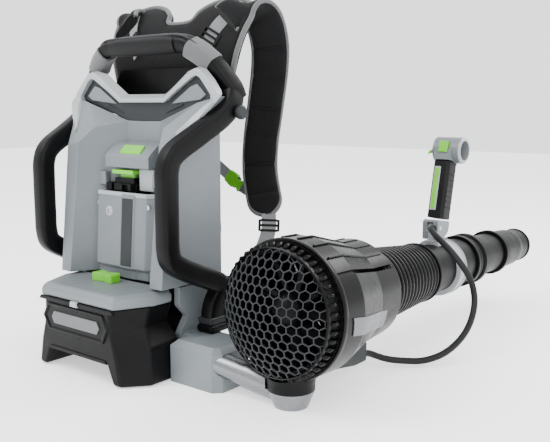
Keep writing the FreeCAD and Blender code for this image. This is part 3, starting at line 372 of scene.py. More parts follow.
def loft(name, rings, slot, body, closed=False, smooth=40):
    """A skin through rings of points in metres, capped at both ends or closed on itself."""
    work = bmesh.new()
    rows = [[work.verts.new(p) for p in ring] for ring in rings]
    for first, second in zip(rows, rows[1:] + (rows[:1] if closed else [])):
        bridge(work, first, second)
    if not closed:
        work.faces.new(rows[0])
        work.faces.new(rows[-1])
    return object_from(name, work, slot, body, smooth)


def lathe(name, profile, slot, body, place=LINE, sides=112, smooth=35):
    """A turned ring from a closed profile of (station, radius) corners about the frame's Y axis."""
    rings = []
    for step in range(sides):
        angle = 2 * math.pi * step / sides
        rings.append([place @ mm(r * math.cos(angle), s, r * math.sin(angle)) for s, r in profile])
    return loft(name, rings, slot, body, closed=True, smooth=smooth)


def smooth_path(points, count):
    """Evenly spaced points along a smooth curve through the given ones, all in millimetres."""
    points = [Vector(p) for p in points]
    ends = [points[0] * 2 - points[1]] + points + [points[-1] * 2 - points[-2]]
    fine, steps = [], 24
    for a, b, c, d in zip(ends, ends[1:], ends[2:], ends[3:]):
        for step in range(steps):
            t = step / steps
            fine.append(0.5 * (2 * b + (c - a) * t + (2 * a - 5 * b + 4 * c - d) * t * t
                               + (3 * b - a - 3 * c + d) * t ** 3))
    fine.append(points[-1])
    run = [0.0]
    for a, b in zip(fine, fine[1:]):
        run.append(run[-1] + (b - a).length)
    result, k = [], 0
    for step in range(count):
        goal = run[-1] * step / (count - 1)
        while k < len(run) - 2 and run[k + 1] < goal:
            k += 1
        share = (goal - run[k]) / max(run[k + 1] - run[k], 1e-9)
        result.append(fine[k].lerp(fine[k + 1], share))
    return result


def frames_along(path, across):
    """(point, across, out) at each point of a path; across is kept square to the run."""
    result = []
    for i, point in enumerate(path):
        run = (path[min(i + 1, len(path) - 1)] - path[max(i - 1, 0)]).normalized()
        wish = Vector(across(i / (len(path) - 1))) if callable(across) else Vector(across)
        wide = (wish - run * wish.dot(run)).normalized()
        result.append((point, wide, run.cross(wide)))
    return result


def band(name, path, across, width, thick, slot, body, square=0.35, folds=(), sides=32):
    """A strap or bar along a path in mm; width and thick are numbers or functions of the share of its length.
    Folds are (share, spread, depth): soft creases across it."""
    rings = []
    last = len(path) - 1
    for i, (point, wide, out) in enumerate(frames_along(path, across)):
        share = i / last
        w = (width(share) if callable(width) else width) / 2
        t = (thick(share) if callable(thick) else thick) / 2
        dip = sum(depth * math.exp(-((share - where) / spread) ** 2) for where, spread, depth in folds)
        ring = []
        for k in range(sides):
            angle = 2 * math.pi * k / sides
            c, s = math.cos(angle), math.sin(angle)
            u = w * math.copysign(abs(c) ** square, c)
            v = t * math.copysign(abs(s) ** (square * 1.6), s)
            v -= math.copysign(min(dip, t * 0.7), v) * (1 - (u / w) ** 4)
            ring.append((point + wide * u + out * v) * MM)
        rings.append(ring)
    return loft(name, rings, slot, body, smooth=50)


def cord_line(name, path, radius, slot, body, closed=False, sides=10):
    """A round piping, wire or rib along points in millimetres."""
    path = [Vector(p) for p in path]
    count = len(path)
    rings, side = [], None
    for i, point in enumerate(path):
        before = path[i - 1] if (closed or i) else path[0]
        after = path[(i + 1) % count] if (closed or i < count - 1) else path[-1]
        run = (after - before).normalized()
        wish = side if side is not None else (UP if abs(run.z) < 0.9 else Vector((1, 0, 0)))
        side = (wish - run * wish.dot(run)).normalized()
        up = run.cross(side)
        rings.append([(point + (side * math.cos(a) + up * math.sin(a)) * radius) * MM
                      for a in (2 * math.pi * k / sides for k in range(sides))])
    return loft(name, rings, slot, body, closed=closed, smooth=60)


def distance_to(outline, u, v):
    """Distance from a point to the nearest side of a closed outline."""
    best = 1e9
    for (a, b), (c, d) in zip(outline, outline[1:] + outline[:1]):
        du, dv = c - a, d - b
        share = max(0.0, min(1.0, ((u - a) * du + (v - b) * dv) / max(du * du + dv * dv, 1e-9)))
        best = min(best, math.hypot(u - a - du * share, v - b - dv * share))
    return best


# Millimetres: how deep and how wide a seam presses in, how wide a pad's edge rounds off, and the height and
# the length of the slow waves in its face.
SEAM_DEPTH, SEAM_REACH, EDGE_REACH, WAVE_HEIGHT, WAVE_LENGTH = 4.5, 4.0, 14, 1.3, 34


def soft_pad(name, outline, back, thick, slot, body, crown=4.0, seams=(), bend=None, seed=1):
    """A foam pad in the XZ plane with a crowned face towards +Y, pressed in along its seams.
    Bend gives how far each point moves towards +Y from its x and z, all in millimetres."""
    piece = prism(name, "XZ", outline, back, back + thick, slot, body, edge=0)
    work = bmesh.new()
    work.from_mesh(piece.data)
    bmesh.ops.bevel(work, geom=work.edges[:], offset=thick * 0.36 * MM, segments=4, affect="EDGES",
                    profile=0.5)
    work.to_mesh(piece.data)
    work.free()
    remesh = piece.modifiers.new("remesh", "REMESH")
    remesh.mode = "VOXEL"
    remesh.voxel_size = 0.0035
    ease = piece.modifiers.new("ease", "SMOOTH")
    ease.factor = 0.6
    ease.iterations = 4
    graph = bpy.context.evaluated_depsgraph_get()
    mesh = bpy.data.meshes.new_from_object(piece.evaluated_get(graph))
    piece.modifiers.clear()
    piece.data = mesh
    for vertex in mesh.vertices:
        x, y, z = vertex.co / MM
        inward = distance_to(outline, x, z)
        front = (y - back) / thick
        swell = crown * (1 - math.exp(-inward / EDGE_REACH)) * max(0.0, front)
        for ax, az, bx, bz in seams:
            near = distance_to([(ax, az), (bx, bz)], x, z)
            swell -= SEAM_DEPTH * math.exp(-(near / SEAM_REACH) ** 2) * max(0.0, front)
        swell += WAVE_HEIGHT * noise.noise(Vector((x, z, seed * 50)) / WAVE_LENGTH) * front
        y += swell + (bend(x, z) if bend else 0.0)
        vertex.co = mm(x, y, z)
    shade(piece)
    finish_of(piece, slot)
    return piece


# ---------------------------------------------------------------- camera, light, floor

def stage():
    """Camera, studio light and floor."""
    camera = placed("camera", bpy.data.cameras.new("camera"))
    camera.location = (0.98153, -0.88641, 0.42181)
    camera.rotation_euler = (math.radians(81.59), 0, math.radians(38.74))
    camera.data.lens = 50.94
    camera.data.sensor_width = 36
    bpy.context.scene.camera = camera

    world = bpy.data.worlds.new("studio")
    world.use_nodes = True
    world.node_tree.nodes["Background"].inputs["Color"].default_value = (0.98, 0.99, 1.0, 1)
    world.node_tree.nodes["Background"].inputs["Strength"].default_value = 2.0
    bpy.context.scene.world = world

    for name, place, aim, size, power in (
        ("key", (-0.7, -1.3, 2.1), (0.1, 0.1, 0.25), 1.1, 46),
        ("fill", (2.2, -0.6, 1.5), (0.2, 0.1, 0.2), 1.4, 26),
        ("rim", (0.9, 1.9, 1.9), (0.2, 0.2, 0.3), 1.2, 40),
    ):
        light = placed(name, bpy.data.lights.new(name, "AREA"))
        light.data.size = size
        light.data.energy = power
        light.location = place
        light.rotation_euler = (Vector(aim) - Vector(place)).to_track_quat("-Z", "Y").to_euler()

    work = bmesh.new()
    bmesh.ops.create_grid(work, x_segments=1, y_segments=1, size=6)
    floor_mesh = bpy.data.meshes.new("floor")
    work.to_mesh(floor_mesh)
    work.free()
    floor = placed("floor", floor_mesh)
    m = Nodes("floor", Roughness=0.6, Specular_IOR_Level=0.2, Emission_Strength=0.75)
    m.shader.inputs["Emission Color"].default_value = (1, 1, 1, 1)
    shades = [(0.0, (0.93, 0.935, 0.94, 1)), (1.0, (0.96, 0.96, 0.96, 1))]
    m.link(m.ramp(m.noise(2.0), shades), m.shader, "Base Color")
    floor_mesh.materials.append(m.material)


stage()


# ---------------------------------------------------------------- control cable

CABLE_ROUTE = [
    (0.336, 0.1393, 0.0272), (0.336, 0.156, 0.0266), (0.343, 0.169, 0.020), (0.358, 0.184, 0.012),
    (0.380, 0.203, 0.009), (0.406, 0.222, 0.009), (0.430, 0.256, 0.020), (0.441, 0.304, 0.046),
    (0.438, 0.340, 0.084), (0.426, 0.350, 0.122), (0.408, 0.340, 0.154), (0.388, 0.330, 0.180),
    (0.364, 0.328, 0.200), (0.347, 0.338, 0.208), (0.340, 0.351, 0.205), (0.340, 0.3679, 0.205),
]
CABLE_RADIUS = 0.0055


def spline_mesh(points, radius):
    """Mesh of a smooth NURBS line of order 3 along a route: a tube, or its centre line if radius is 0."""
    curve = bpy.data.curves.new("route", "CURVE")
    curve.dimensions = "3D"
    spline = curve.splines.new("NURBS")
    spline.points.add(len(points) - 1)
    for point, place in zip(spline.points, points):
        point.co = (*place, 1)
    spline.order_u = 3
    spline.use_endpoint_u = True
    spline.resolution_u = 12
    curve.bevel_depth = radius
    curve.bevel_resolution = 5
    curve.use_fill_caps = True
    holder = placed("route", curve)
    bpy.context.view_layer.update()
    mesh = bpy.data.meshes.new_from_object(holder.evaluated_get(bpy.context.evaluated_depsgraph_get()))
    bpy.data.objects.remove(holder)
    return mesh


def control_cable():
    """The cable from the fin to the handle."""
    centre_line = [tuple(v.co) for v in spline_mesh(CABLE_ROUTE, 0).vertices]
    cable = placed("cable_sleeve", spline_mesh(CABLE_ROUTE, CABLE_RADIUS))
    finish_of(cable, "cable_sleeve")
    shade(cable)
    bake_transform(cable)
    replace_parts(cable, "control_cable")


control_cable()

# ---------------------------------------------------------------- pack: shell, rim, column

def shell_skin():
    """The grey shell's facets, right half given: W1 to W4 are its four upright creases."""
    low = 143
    corners = [
        (0, -6, low), (0, -6, 397), (41, -6, low), (41, -6, 397),
        (85, -60, low), (85, -43, 290), (85, -42, 386),
        (100, -92, low), (100, -66, 361), (122, -91, low), (122, -69, 354),
        (122, 40, low), (122, 40, 392), (131, -14, 425), (166, -9, 437), (163, 40, 437),
    ]
    faces = [
        (0, 2, 3, 1), (2, 4, 5, 6, 3), (3, 6, 13), (4, 7, 8, 6, 5), (7, 9, 10, 8),
        (6, 8, 10, 14, 13), (9, 11, 12, 10), (10, 12, 15, 14),
    ]
    piece = faceted("shell_skin", corners, faces, "grey_shell", "pack", 0.004, thick=0.0035)
    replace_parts(piece, "shell")


RIM = [  # right half: inner and outer edge of the band's face, from the notch to the flared shoulder
    ((0, 427), (0, 434)), ((54, 427), (53, 434)), ((84, 446), (81, 452)), ((110, 461), (105, 469)),
    ((119, 466), (115, 476)), ((127, 468), (125, 479)), ((135, 464), (136, 476)), ((148, 449), (154, 459)),
    ((157, 438), (167, 446)), ((157, 430), (171, 439)), ((152, 422), (171, 428)), ((141, 408), (155, 405)),
    ((131, 394), (139, 383)), ((123, 382), (128, 369)),
]


def rim():
    """Light band through the V notch and over the horns, with its top face rising to the back."""
    half = []
    for i, ((x, z), (xo, zo)) in enumerate(RIM):
        back = 15 if i < 9 else max(8, 15 - (i - 8) * 2)
        front = -16 if i < 10 else -16 - (i - 9) * 10.5
        lift = 7.5 if i < 4 else 4
        shift = -8 if 0 < i < 4 else 0
        half.append([(x, front, z), (xo, front, zo), (xo + shift, front + back, zo + lift * (i < 8)),
                     (x, front + back, z + 3)])
    rings = [[mm(-x, y, z) for x, y, z in ring] for ring in reversed(half[1:])]
    rings += [[mm(*c) for c in ring] for ring in half]
    piece = rounded(loft("rim_band", rings, "light_grey", "pack", smooth=20), 0.0016)
    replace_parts(piece, "top_rim")


def horn_shade_linings():
    """Dark grey sheet under the rim as painted shade of its undercut, with a lighter pressed panel in each
    horn.
    """
    # Painted shade: this dark grey sheet stands where the rim's lip overhangs.
    shade_outline = [(41, 397.5), (133, 425.5), (160, 437), (128, 469), (118, 467), (56, 429)]
    face = shade_outline + [(-x, z) for x, z in reversed(shade_outline)]
    piece = prism("rim_painted_shade", "XZ", face, -8, -2, "dark_grey", "pack", edge=0.0008)
    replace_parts(piece, "rim_liner")
    for tag, side in SIDES:
        panel = [(66, 425), (110, 452), (124, 456), (143, 439), (131, 431)]
        outline = [(x * side, z) for x, z in panel]
        prism("horn_panel_" + tag, "XZ", outline, -11, -7, "grey_shell", "pack", 0.0016)
        slot_line = [(52, -8.4, 411), (92, -10, 424)]
        cord_line("liner_rib_" + tag, [(x * side, y, z) for x, y, z in slot_line], 1.0, "dark_grey", "pack")


def column():
    """Cover over the battery's stem: its front leans out lower down, with a raised strip painted dark grey as
    shade of its face turned from the light.
    The foot is set back, which leaves room for the lock knob to turn."""
    rows = []
    for z, out in ((142, 2.0), (156, 2.6), (161, 8.6), (280, 0.0)):
        plan = [(-70, -33), (-70, -48 - out), (-61, -59 - out), (-1, -60 - out), (1, -62.5 - out),
                (31, -62.5 - out), (33, -60 - out), (57, -59 - out), (67, -49 - out), (67, -33)]
        inner = [(x * 0.95, min(-33.0, y + 4)) for x, y in reversed(plan)]
        rows.append([mm(x, y, z) for x, y in plan + inner])
    piece = rounded(loft("column_skin", rows, "grey_shell", "pack", smooth=20), 0.0022)
    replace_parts(piece, "column_cover")
    # Painted highlight: the lip is light grey to stand for the bright line along its edge.
    lip = [(-70, -33), (-70, -49), (-61, -61), (57, -61), (67, -50), (67, -33), (62, -33), (62, -47),
           (54, -55), (-58, -55), (-65, -46), (-65, -33)]
    prism("column_lip_highlight", "XY", lip, 276, 283, "light_grey", "pack", 0.0016)
    prism("column_floor", "XY", [(-64, -34), (-64, -46), (-57, -54), (53, -54), (61, -46), (61, -34)],
          272, 276, "grey_shell", "pack", 0.001)
    # Painted shade: the strip is dark grey because its face turns away from the light.
    work = bmesh.new()
    corners = [(3, 164), (29, 164), (29, 274), (3, 274)]
    front, top, fall = -63.2, 280, 13.8
    work.faces.new([work.verts.new(mm(x, front - (top - z) / fall, z)) for x, z in corners])
    plate = object_from("column_shade_strip", work, "dark_grey", "pack")
    thick = plate.modifiers.new("wall", "SOLIDIFY")
    thick.thickness = 0.0012
    rounded(plate, 0.0005)
    filler = [(17, 284), (52, 284), (52, 321), (17, 321)]
    prism("bay_filler", "XZ", filler, -39, -33.4, "light_grey", "pack", 0.003)
    boss = Matrix.Translation(mm(-31, -61, 250))
    ring = [(-2.5, 4), (-2.5, 7.5), (-1, 9), (1.5, 9), (1.5, 4)]
    lathe("column_boss", ring, "light_grey", "pack", boss, 40)
    lathe("column_screw", [(-1.2, 0.05), (-1.2, 3.2), (1.0, 3.6), (1.0, 0.05)], "steel", "pack", boss, 24)
    for tag, x, width in (("left", -70, 20), ("right", 58, 12)):
        low, high = x - width / 2, x + width / 2
        outline = [(low, 290), (high, 290), (high - 2, 313), (low + 2, 313)]
        prism("panel_boss_" + tag, "XZ", outline, -44, -28, "grey_shell", "pack", 0.0025)


# ---------------------------------------------------------------- harness

STRAP = [(120, 62, 560), (137, 92, 577), (145, 122, 566), (140, 148, 528), (130, 161, 486), (116, 167, 426),
         (106, 166, 362), (110, 158, 312), (128, 146, 268), (148, 134, 238)]


def strap_across(side):
    """Direction across a shoulder strap, by the share of its length."""
    return lambda share: Vector((0.78 * side, 0.62 - 0.1 * share, 0.06))


def shoulder_pads():
    """Padded shoulder straps with soft folds, bound edges and seams across them."""
    for tag, side in SIDES:
        path = smooth_path([(x * side, y, z) for x, y, z in STRAP], 150)
        folds = [(0.16, 0.02, 2.5), (0.30, 0.016, 3.2), (0.42, 0.014, 3.6), (0.55, 0.016, 3.0),
                 (0.66, 0.014, 2.6), (0.78, 0.016, 4.0), (0.9, 0.012, 3.0)]

        def width(share):
            end = min(1.0, (1.0 - share) / 0.07)
            return 60 * math.sqrt(max(0.05, 1 - (1 - end) ** 2)) * (1 - 0.08 * share)

        def thick(share):
            return 17 * (0.55 + 0.45 * min(1.0, (1.0 - share) / 0.08)) * (1 - 0.12 * share)

        pad = band("strap_pad_" + tag, path, strap_across(side), width, thick, "pad_fabric", "pack",
                   square=0.45, folds=folds, sides=44)
        for vertex in pad.data.vertices:
            wobble = noise.noise(vertex.co * 34) * 0.0011
            vertex.co += vertex.normal * wobble
        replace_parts(pad, "shoulder_strap_" + tag)
        frames = frames_along(path, strap_across(side))
        edges = {1: [], -1: []}
        for i, (point, wide, out) in enumerate(frames):
            share = i / (len(frames) - 1)
            for hand in (1, -1):
                edges[hand].append(point + wide * hand * (width(share) / 2 - 0.6))
        cord_line("strap_binding_" + tag, edges[1] + list(reversed(edges[-1])), 3.9, "dark_webbing", "pack")
        for index, share in enumerate((0.30, 0.55, 0.78, 0.9)):
            point, wide, out = frames[int(share * (len(frames) - 1))]
            seam = [point + wide * w + out * (9.2 - abs(w) * 0.09) * hand for hand in (1, -1) for w in
                    range(-22 * hand, 23 * hand, 4 * hand)]
            cord_line("strap_seam_%s_%d" % (tag, index), seam, 0.7, "soft_black", "pack", closed=True,
                      sides=6)


def harness_webbing():
    """Webbing over and under each shoulder strap, with the sliders it threads through."""
    lift = [(79, 48, 508), (90, 53, 526), (106, 66, 556), (124, 88, 580), (138, 106, 590), (146, 122, 584)]
    low = [(150, 133, 240), (157, 124, 215), (157, 112, 190), (150, 98, 164), (138, 84, 142)]
    for tag, side in SIDES:
        lift_across, low_across = Vector((side, 0.3, 0)), Vector((0.78 * side, 0.62, 0))
        path = smooth_path([(x * side, y, z) for x, y, z in lift], 60)
        lifter = band("lifter_" + tag, path, lift_across, 25, 1.8, "webbing", "pack", square=0.2, sides=16)
        if tag == "right":
            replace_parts(lifter, "harness_webbing")
        path = smooth_path([(x * side, y, z) for x, y, z in low], 50)
        band("lower_strap_" + tag, path, low_across, 25, 1.8, "webbing", "pack", square=0.2, sides=16)
        centre, wide, out = frames_along(path, low_across)[9]
        ladder_lock("lower_lock_" + tag, centre, wide, out, "black_plastic")
        path = smooth_path([(x * side, y - 2, z) for x, y, z in lift], 60)
        centre, wide, out = frames_along(path, lift_across)[13]
        ladder_lock("lifter_lock_" + tag, centre, wide, out, "black_plastic")


def ladder_lock(name, centre, wide, out, slot):
    """Small moulded slider that webbing threads through: two rails and three bars."""
    run = wide.cross(out)
    work = bmesh.new()

    def bar(a, b, half_w, half_h):
        along = (b - a).normalized()
        side = (out.cross(along)).normalized()
        points = []
        for end in (a, b):
            for u, v in ((-half_w, -half_h), (half_w, -half_h), (half_w, half_h), (-half_w, half_h)):
                points.append(work.verts.new((end + side * u + out * v) * MM))
        for quad in ((0, 1, 2, 3), (7, 6, 5, 4), (0, 4, 5, 1), (1, 5, 6, 2), (2, 6, 7, 3), (3, 7, 4, 0)):
            work.faces.new([points[i] for i in quad])

    for hand in (1, -1):
        bar(centre + wide * 16 * hand - run * 10, centre + wide * 16 * hand + run * 10, 2.2, 3.2)
    for shift in (-9, 0, 9):
        bar(centre - wide * 15 + run * shift, centre + wide * 15 + run * shift, 1.8, 2.6)
    return rounded(object_from(name, work, slot, "pack"), 0.0008)


YOKE_HALF = [(70, 470), (98, 455), (130, 452), (146, 500), (156, 540), (160, 566), (142, 586), (112, 594),
             (84, 596), (56, 590), (36, 578), (25, 562)]
YOKE = YOKE_HALF + [(-x, z) for x, z in reversed(YOKE_HALF)]


def yoke_bend(x, z):
    """The yoke curls forward over the shoulders."""
    return 0.0046 * max(0, z - 492) ** 2


def harness_cushions():
    """Yoke, back pad and waist belt."""
    yoke = soft_pad("yoke_cushion", YOKE, 50, 20, "pad_fabric", "pack", 4,
                    seams=[(-60, 500, -100, 566), (60, 500, 100, 566), (-70, 520, 70, 520)], bend=yoke_bend,
                    seed=1)
    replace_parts(yoke, "yoke_pad")
    rim_path = [(x, z) for x, z in YOKE]
    edge_path = smooth_path([(x, 0, z) for x, z in rim_path + rim_path[:1]], 260)[:-1]
    edge_path = [Vector((p.x, 55 + yoke_bend(p.x, p.z), p.z)) for p in edge_path]
    cord_line("yoke_piping", edge_path, 4.2, "dark_webbing", "pack", closed=True)
    back = [(-92, 146), (92, 146), (100, 214), (84, 420), (50, 468), (-50, 468), (-84, 420), (-100, 214)]
    pad = soft_pad("back_cushion", back, 47.6, 26, "pad_fabric", "pack", 5,
                   seams=[(-80, 230, 80, 230), (-74, 320, 74, 320), (-66, 410, 66, 410), (0, 150, 0, 460)],
                   seed=2)
    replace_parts(pad, "back_pad")
    belt = [(-205, 58), (-196, 52), (196, 52), (205, 58), (205, 126), (196, 136), (118, 140), (-118, 140),
            (-196, 136), (-205, 126)]

    def curve(x, z):
        return 0.0034 * max(0, abs(x) - 112) ** 2

    pad = soft_pad("belt_cushion", belt, 48, 24, "pad_fabric", "pack", 4,
                   seams=[(-118, 60, -118, 132), (118, 60, 118, 132), (-196, 96, 196, 96)], bend=curve,
                   seed=3)
    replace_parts(pad, "waist_belt")


def chest():
    """Chest strap, with its buckle turned into the strap's own slope."""
    left = smooth_path([(-92, 160, 352), (-40, 157, 333), (8, 153, 318), (42, 150, 300)], 60)
    right = smooth_path([(72, 149, 282), (82, 150, 277), (94, 152, 272)], 20)
    side = Vector((0, 0.2, 1))
    piece = band("chest_left", left, side, 20, 1.8, "webbing", "pack", square=0.2, sides=16)
    band("chest_right", right, side, 20, 1.8, "webbing", "pack", square=0.2, sides=16)
    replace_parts(piece, "chest_strap")
    a, b = Vector((42, 150, 300)), Vector((75, 149, 280))
    run = (b - a).normalized()
    up = (side - run * side.dot(run)).normalized()
    out = run.cross(up)
    place = Matrix((run, up, out)).transposed().to_4x4()
    place.translation = (a + b) / 2 * MM
    body = [(-19, -11), (-6, -13), (2, -13), (6, -8), (12, -8), (19, -12), (19, 12), (12, 8), (6, 8), (2, 13),
            (-6, 13), (-19, 11)]
    buckle = prism("buckle_body", "XY", body, -4.5, 4.5, "green", "pack", 0.0016, place)
    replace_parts(buckle, "chest_buckle")
    mouth = [(4, -11), (9, -10), (9, 10), (4, 11)]
    prism("buckle_slot", "XY", mouth, -3.4, 3.4, "black_plastic", "pack", 0.0008, place)


# ---------------------------------------------------------------- carry handle and side bars

def bar_pieces():
    """Side bars: a rounded section on a foot with a dark grey shoe."""
    for tag, side in SIDES:
        x = 150 * side
        route = [(x + 14 * side, 27, 440), (x + 17 * side, 18, 424), (x + 13 * side, -2, 404),
                 (x + 6 * side, -45, 378), (x + side, -88, 353), (x, -101, 332), (x, -103, 300),
                 (x, -103, 240), (x, -102, 208), (x, -92, 188), (x, -50, 166), (x, -2, 146), (x, 8, 134),
                 (x, 4, 122), (x, -5, 108), (x, -9, 90), (x, -9, 67.5)]
        path = smooth_path(route, 130)
        piece = band("guard_bar_" + tag, path, Vector((side, 0, 0)), 28,
                     lambda s: 35 - 3 * math.sin(math.pi * s), "black_plastic", "pack", square=0.42, sides=36)
        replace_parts(piece, "side_bar_" + tag)
        corners = [(-17, -20), (17, -20), (17, 20), (-17, 20)]
        foot = [(x + a, -9 + b) for a, b in corners]
        shoe = [(x + a * 0.9, -9 + b * 0.9) for a, b in corners]
        prism("bar_foot_" + tag, "XY", foot, 67.4, 80, "black_plastic", "pack", 0.004)
        prism("bar_shoe_" + tag, "XY", shoe, 80, 92, "dark_grey", "pack", 0.003)


def handle_y(z):
    """Depth of the carry handle by height: it leans forward as it rises."""
    return 0.42 * (519 - z) - 1


def carry_handle():
    """Handle over the pack: its ends run on from the side bars and wrap round the horns."""
    half = [(165, 433), (163, 449), (152, 468), (139, 486), (118, 504), (102, 514), (86, 519), (60, 520),
            (0, 520)]
    route = [(x, handle_y(z), z) for x, z in half] + [(-x, handle_y(z), z) for x, z in reversed(half[:-1])]
    path = smooth_path(route, 190)
    across = Vector((0, 1, 0.42))
    piece = band("carry_tube", path, across, lambda s: 30 + 3 * math.cos(s * 2 * math.pi), 27,
                 "black_plastic", "pack", square=0.5, sides=32)
    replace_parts(piece, "top_handle")
    grip = smooth_path([(-78, handle_y(520), 520), (78, handle_y(520), 520)], 90)
    rubber_grip = band("carry_grip", grip, across, 33, lambda s: 31 - 5 * abs(2 * s - 1) ** 6,
                       "soft_black", "pack", square=0.5, sides=32)
    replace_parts(rubber_grip, "handle_grip")
    for tag, side in SIDES:
        spot = [(x * side, handle_y(z), z) for x, z in ((100, 513.6), (121, 500.5), (138, 486))]
        sleeve = band("carry_sleeve_" + tag, smooth_path(spot, 30), across, 36, 31, "dark_webbing", "pack",
                      square=0.5, sides=28)
        if tag == "right":
            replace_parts(sleeve, "handle_loops")
    edge = [p + Vector((0, -10, 12.5)) for p in path[38:152]]
    cord_line("carry_seam", edge, 1.6, "dark_grey", "pack")


# ---------------------------------------------------------------- battery

def battery_details():
    """Raised frame and blank plate on the face, lip, clip tab and the lip of the arch."""
    face = -160
    outer = [(-84, 87), (-70, 110), (66, 110), (78, 87), (66, 64), (-70, 64)]
    inner = [(-76, 87), (-65, 104), (61, 104), (70, 87), (61, 70), (-65, 70)]
    work = bmesh.new()
    rings = []
    for y, ring in ((face + 1, outer), (face - 2.5, [(x * 0.985, 87 + (z - 87) * 0.95) for x, z in outer]),
                    (face - 2.5, [(x * 1.02, 87 + (z - 87) * 1.08) for x, z in inner]), (face - 0.5, inner)):
        rings.append([work.verts.new(mm(x, y, z)) for x, z in ring])
    for first, second in zip(rings, rings[1:]):
        bridge(work, first, second)
    work.faces.new(rings[-1])
    rounded(object_from("battery_frame", work, "gloss_black", "battery"), 0.0009)
    plate = [(-60, 87), (-54, 97), (52, 97), (58, 87), (52, 77), (-54, 77)]
    piece = prism("battery_plate", "XZ", plate, face - 2.6, face + 0.5, "badge", "battery", 0.0009)
    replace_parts(piece, "battery_badge")
    lip = [(-92, 113), (92, 113), (88, 119), (-88, 119)]
    prism("battery_lip", "XZ", lip, face - 3, face + 3, "black_plastic", "battery", 0.0012)
    tab = [(-9, 112), (9, 112), (7, 121), (-7, 121)]
    prism("battery_tab", "XZ", tab, face - 5.5, face, "light_grey", "battery", 0.0012)
    arch = [(-72, 33), (72, 33), (69, 39), (-69, 39)]
    prism("arch_lip", "XZ", arch, face - 1.6, face + 4, "black_plastic", "battery", 0.0012)


def battery_skin():
    """The case: chamfered in plan, waisted under the ledge, with hips and flared feet round the arch."""
    corners = [
        (0, -160, 119), (79, -160, 119), (114, -108, 119), (115, -62, 119), (0, -62, 119),
        (82, -160, 80), (105, -110, 88), (103, -62, 90), (92, -160, 44), (127, -122, 58), (128, -62, 62),
        (101, -159, 2), (131, -124, 2), (131, -62, 2), (84, -160, 2), (84, -62, 2),
        (71, -160, 32), (71, -62, 32), (0, -160, 32), (0, -62, 32),
    ]
    faces = [
        (0, 1, 5, 8, 11, 14, 16, 18), (1, 2, 6, 5), (2, 3, 7, 6), (5, 6, 9, 8), (6, 7, 10, 9), (8, 9, 12, 11),
        (9, 10, 13, 12), (11, 12, 13, 15, 14), (14, 15, 17, 16), (16, 17, 19, 18), (0, 4, 3, 2, 1),
        (4, 19, 17, 15, 13, 10, 7, 3),
    ]
    piece = faceted("battery_skin", corners, faces, "black_plastic", "battery", 0.0045)
    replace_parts(piece, "battery_case")


# ---------------------------------------------------------------- blower

def dome_y(radius):
    """Depth of the grille's dome, by radius, in millimetres along the line."""
    return 120 - math.sqrt(150 ** 2 - radius ** 2)


def grille():
    """Thin hexagonal net over the whole dome, its outer cells squeezed against the rim."""
    pitch, rib, limit = 13.4, 1.35, 90.0
    row_step = pitch * 0.8660254
    work = bmesh.new()
    outer_r, inner_r = pitch / math.sqrt(3), (pitch - rib) / math.sqrt(3)

    def place(x, z):
        r = math.hypot(x, z)
        if r > limit:
            x, z, r = x * limit / r, z * limit / r, limit
        return LINE @ mm(x, dome_y(r), z)

    rows = int(limit / row_step) + 2
    for j in range(-rows, rows + 1):
        for i in range(-rows, rows + 1):
            cx, cz = (i + 0.5 * (j % 2)) * pitch, j * row_step
            if math.hypot(cx, cz) > limit + 1.5:
                continue
            angles = [math.radians(60 * k + 30) for k in range(6)]
            ring, hole = ([work.verts.new(place(cx + r * math.cos(a), cz + r * math.sin(a))) for a in angles]
                          for r in (outer_r, inner_r))
            bridge(work, ring, hole)
    bmesh.ops.remove_doubles(work, verts=work.verts, dist=0.0002)
    bmesh.ops.dissolve_degenerate(work, edges=work.edges, dist=0.0002)
    net = object_from("grille_net", work, "dark_grey", "blower", 30)
    depth = net.modifiers.new("depth", "SOLIDIFY")
    depth.thickness = 0.0034
    depth.offset = 0
    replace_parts(net, "intake_grille")
    lathe("grille_rim", [(-1, 88.6), (-2.6, 90), (-1.4, 92), (3, 92.6), (3, 88.6)], "gloss_black", "blower")
    lathe("hub_cone", [(12, 0.3), (13, 8), (18, 18), (27, 25), (30, 26), (30, 0.3)], "black_plastic", "fan")


def louvres():
    """Fins round the edge of the housing, over a dark base ring."""
    work = bmesh.new()
    count, half_width = 48, 1.9
    for k in range(count):
        angle = 2 * math.pi * k / count
        turn = LINE @ Matrix.Rotation(angle, 4, "Y")
        corners = [(85, 3.2), (94, 3.2), (97.5, 6), (97.5, 18), (85, 20)]
        ends = [[work.verts.new(turn @ mm(r, s, t)) for r, s in corners] for t in (-half_width, half_width)]
        for end in ends:
            work.faces.new(end)
        bridge(work, *ends)
    fins = object_from("louvre_fins", work, "gloss_black", "blower")
    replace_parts(fins, "louvre_ring")
    base = [(6, 83), (6, 88), (20, 92), (22, 97.2), (26, 97.2), (26, 83)]
    lathe("louvre_base", base, "black_plastic", "blower")


def bellows():
    """Ribbed rubber duct: fourteen rounded ridges that get smaller away from the blower."""
    start, end, near, far, count = 218, 392, 64, 51, 14
    pitch = (end - start) / count
    outside = []
    for i in range(count):
        ridge = near + (far - near) * (i + 0.5) / count
        base = start + pitch * i
        for share, drop in ((0.0, 9.0), (0.14, 8.6), (0.24, 5.0), (0.30, 1.2), (0.38, 0.2), (0.50, 0.0),
                            (0.62, 0.2), (0.70, 1.2), (0.76, 5.0), (0.86, 8.6)):
            outside.append((base + share * pitch, ridge - drop))
    outside.append((end, far - 9))
    inside = [(s, r - 2) for s, r in reversed(outside[::5])]
    piece = lathe("bellows_duct", outside + inside, "bellows_rubber", "blower", smooth=50)
    piece.parent = None
    piece.matrix_world = Matrix()
    del piece["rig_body"]
    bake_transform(piece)
    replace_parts(piece, "bellows")
    cuff = [(211, 60), (211, 70.5), (213, 72), (217, 72), (219, 70), (219, 60)]
    lathe("bellows_cuff", cuff, "black_plastic", "blower")


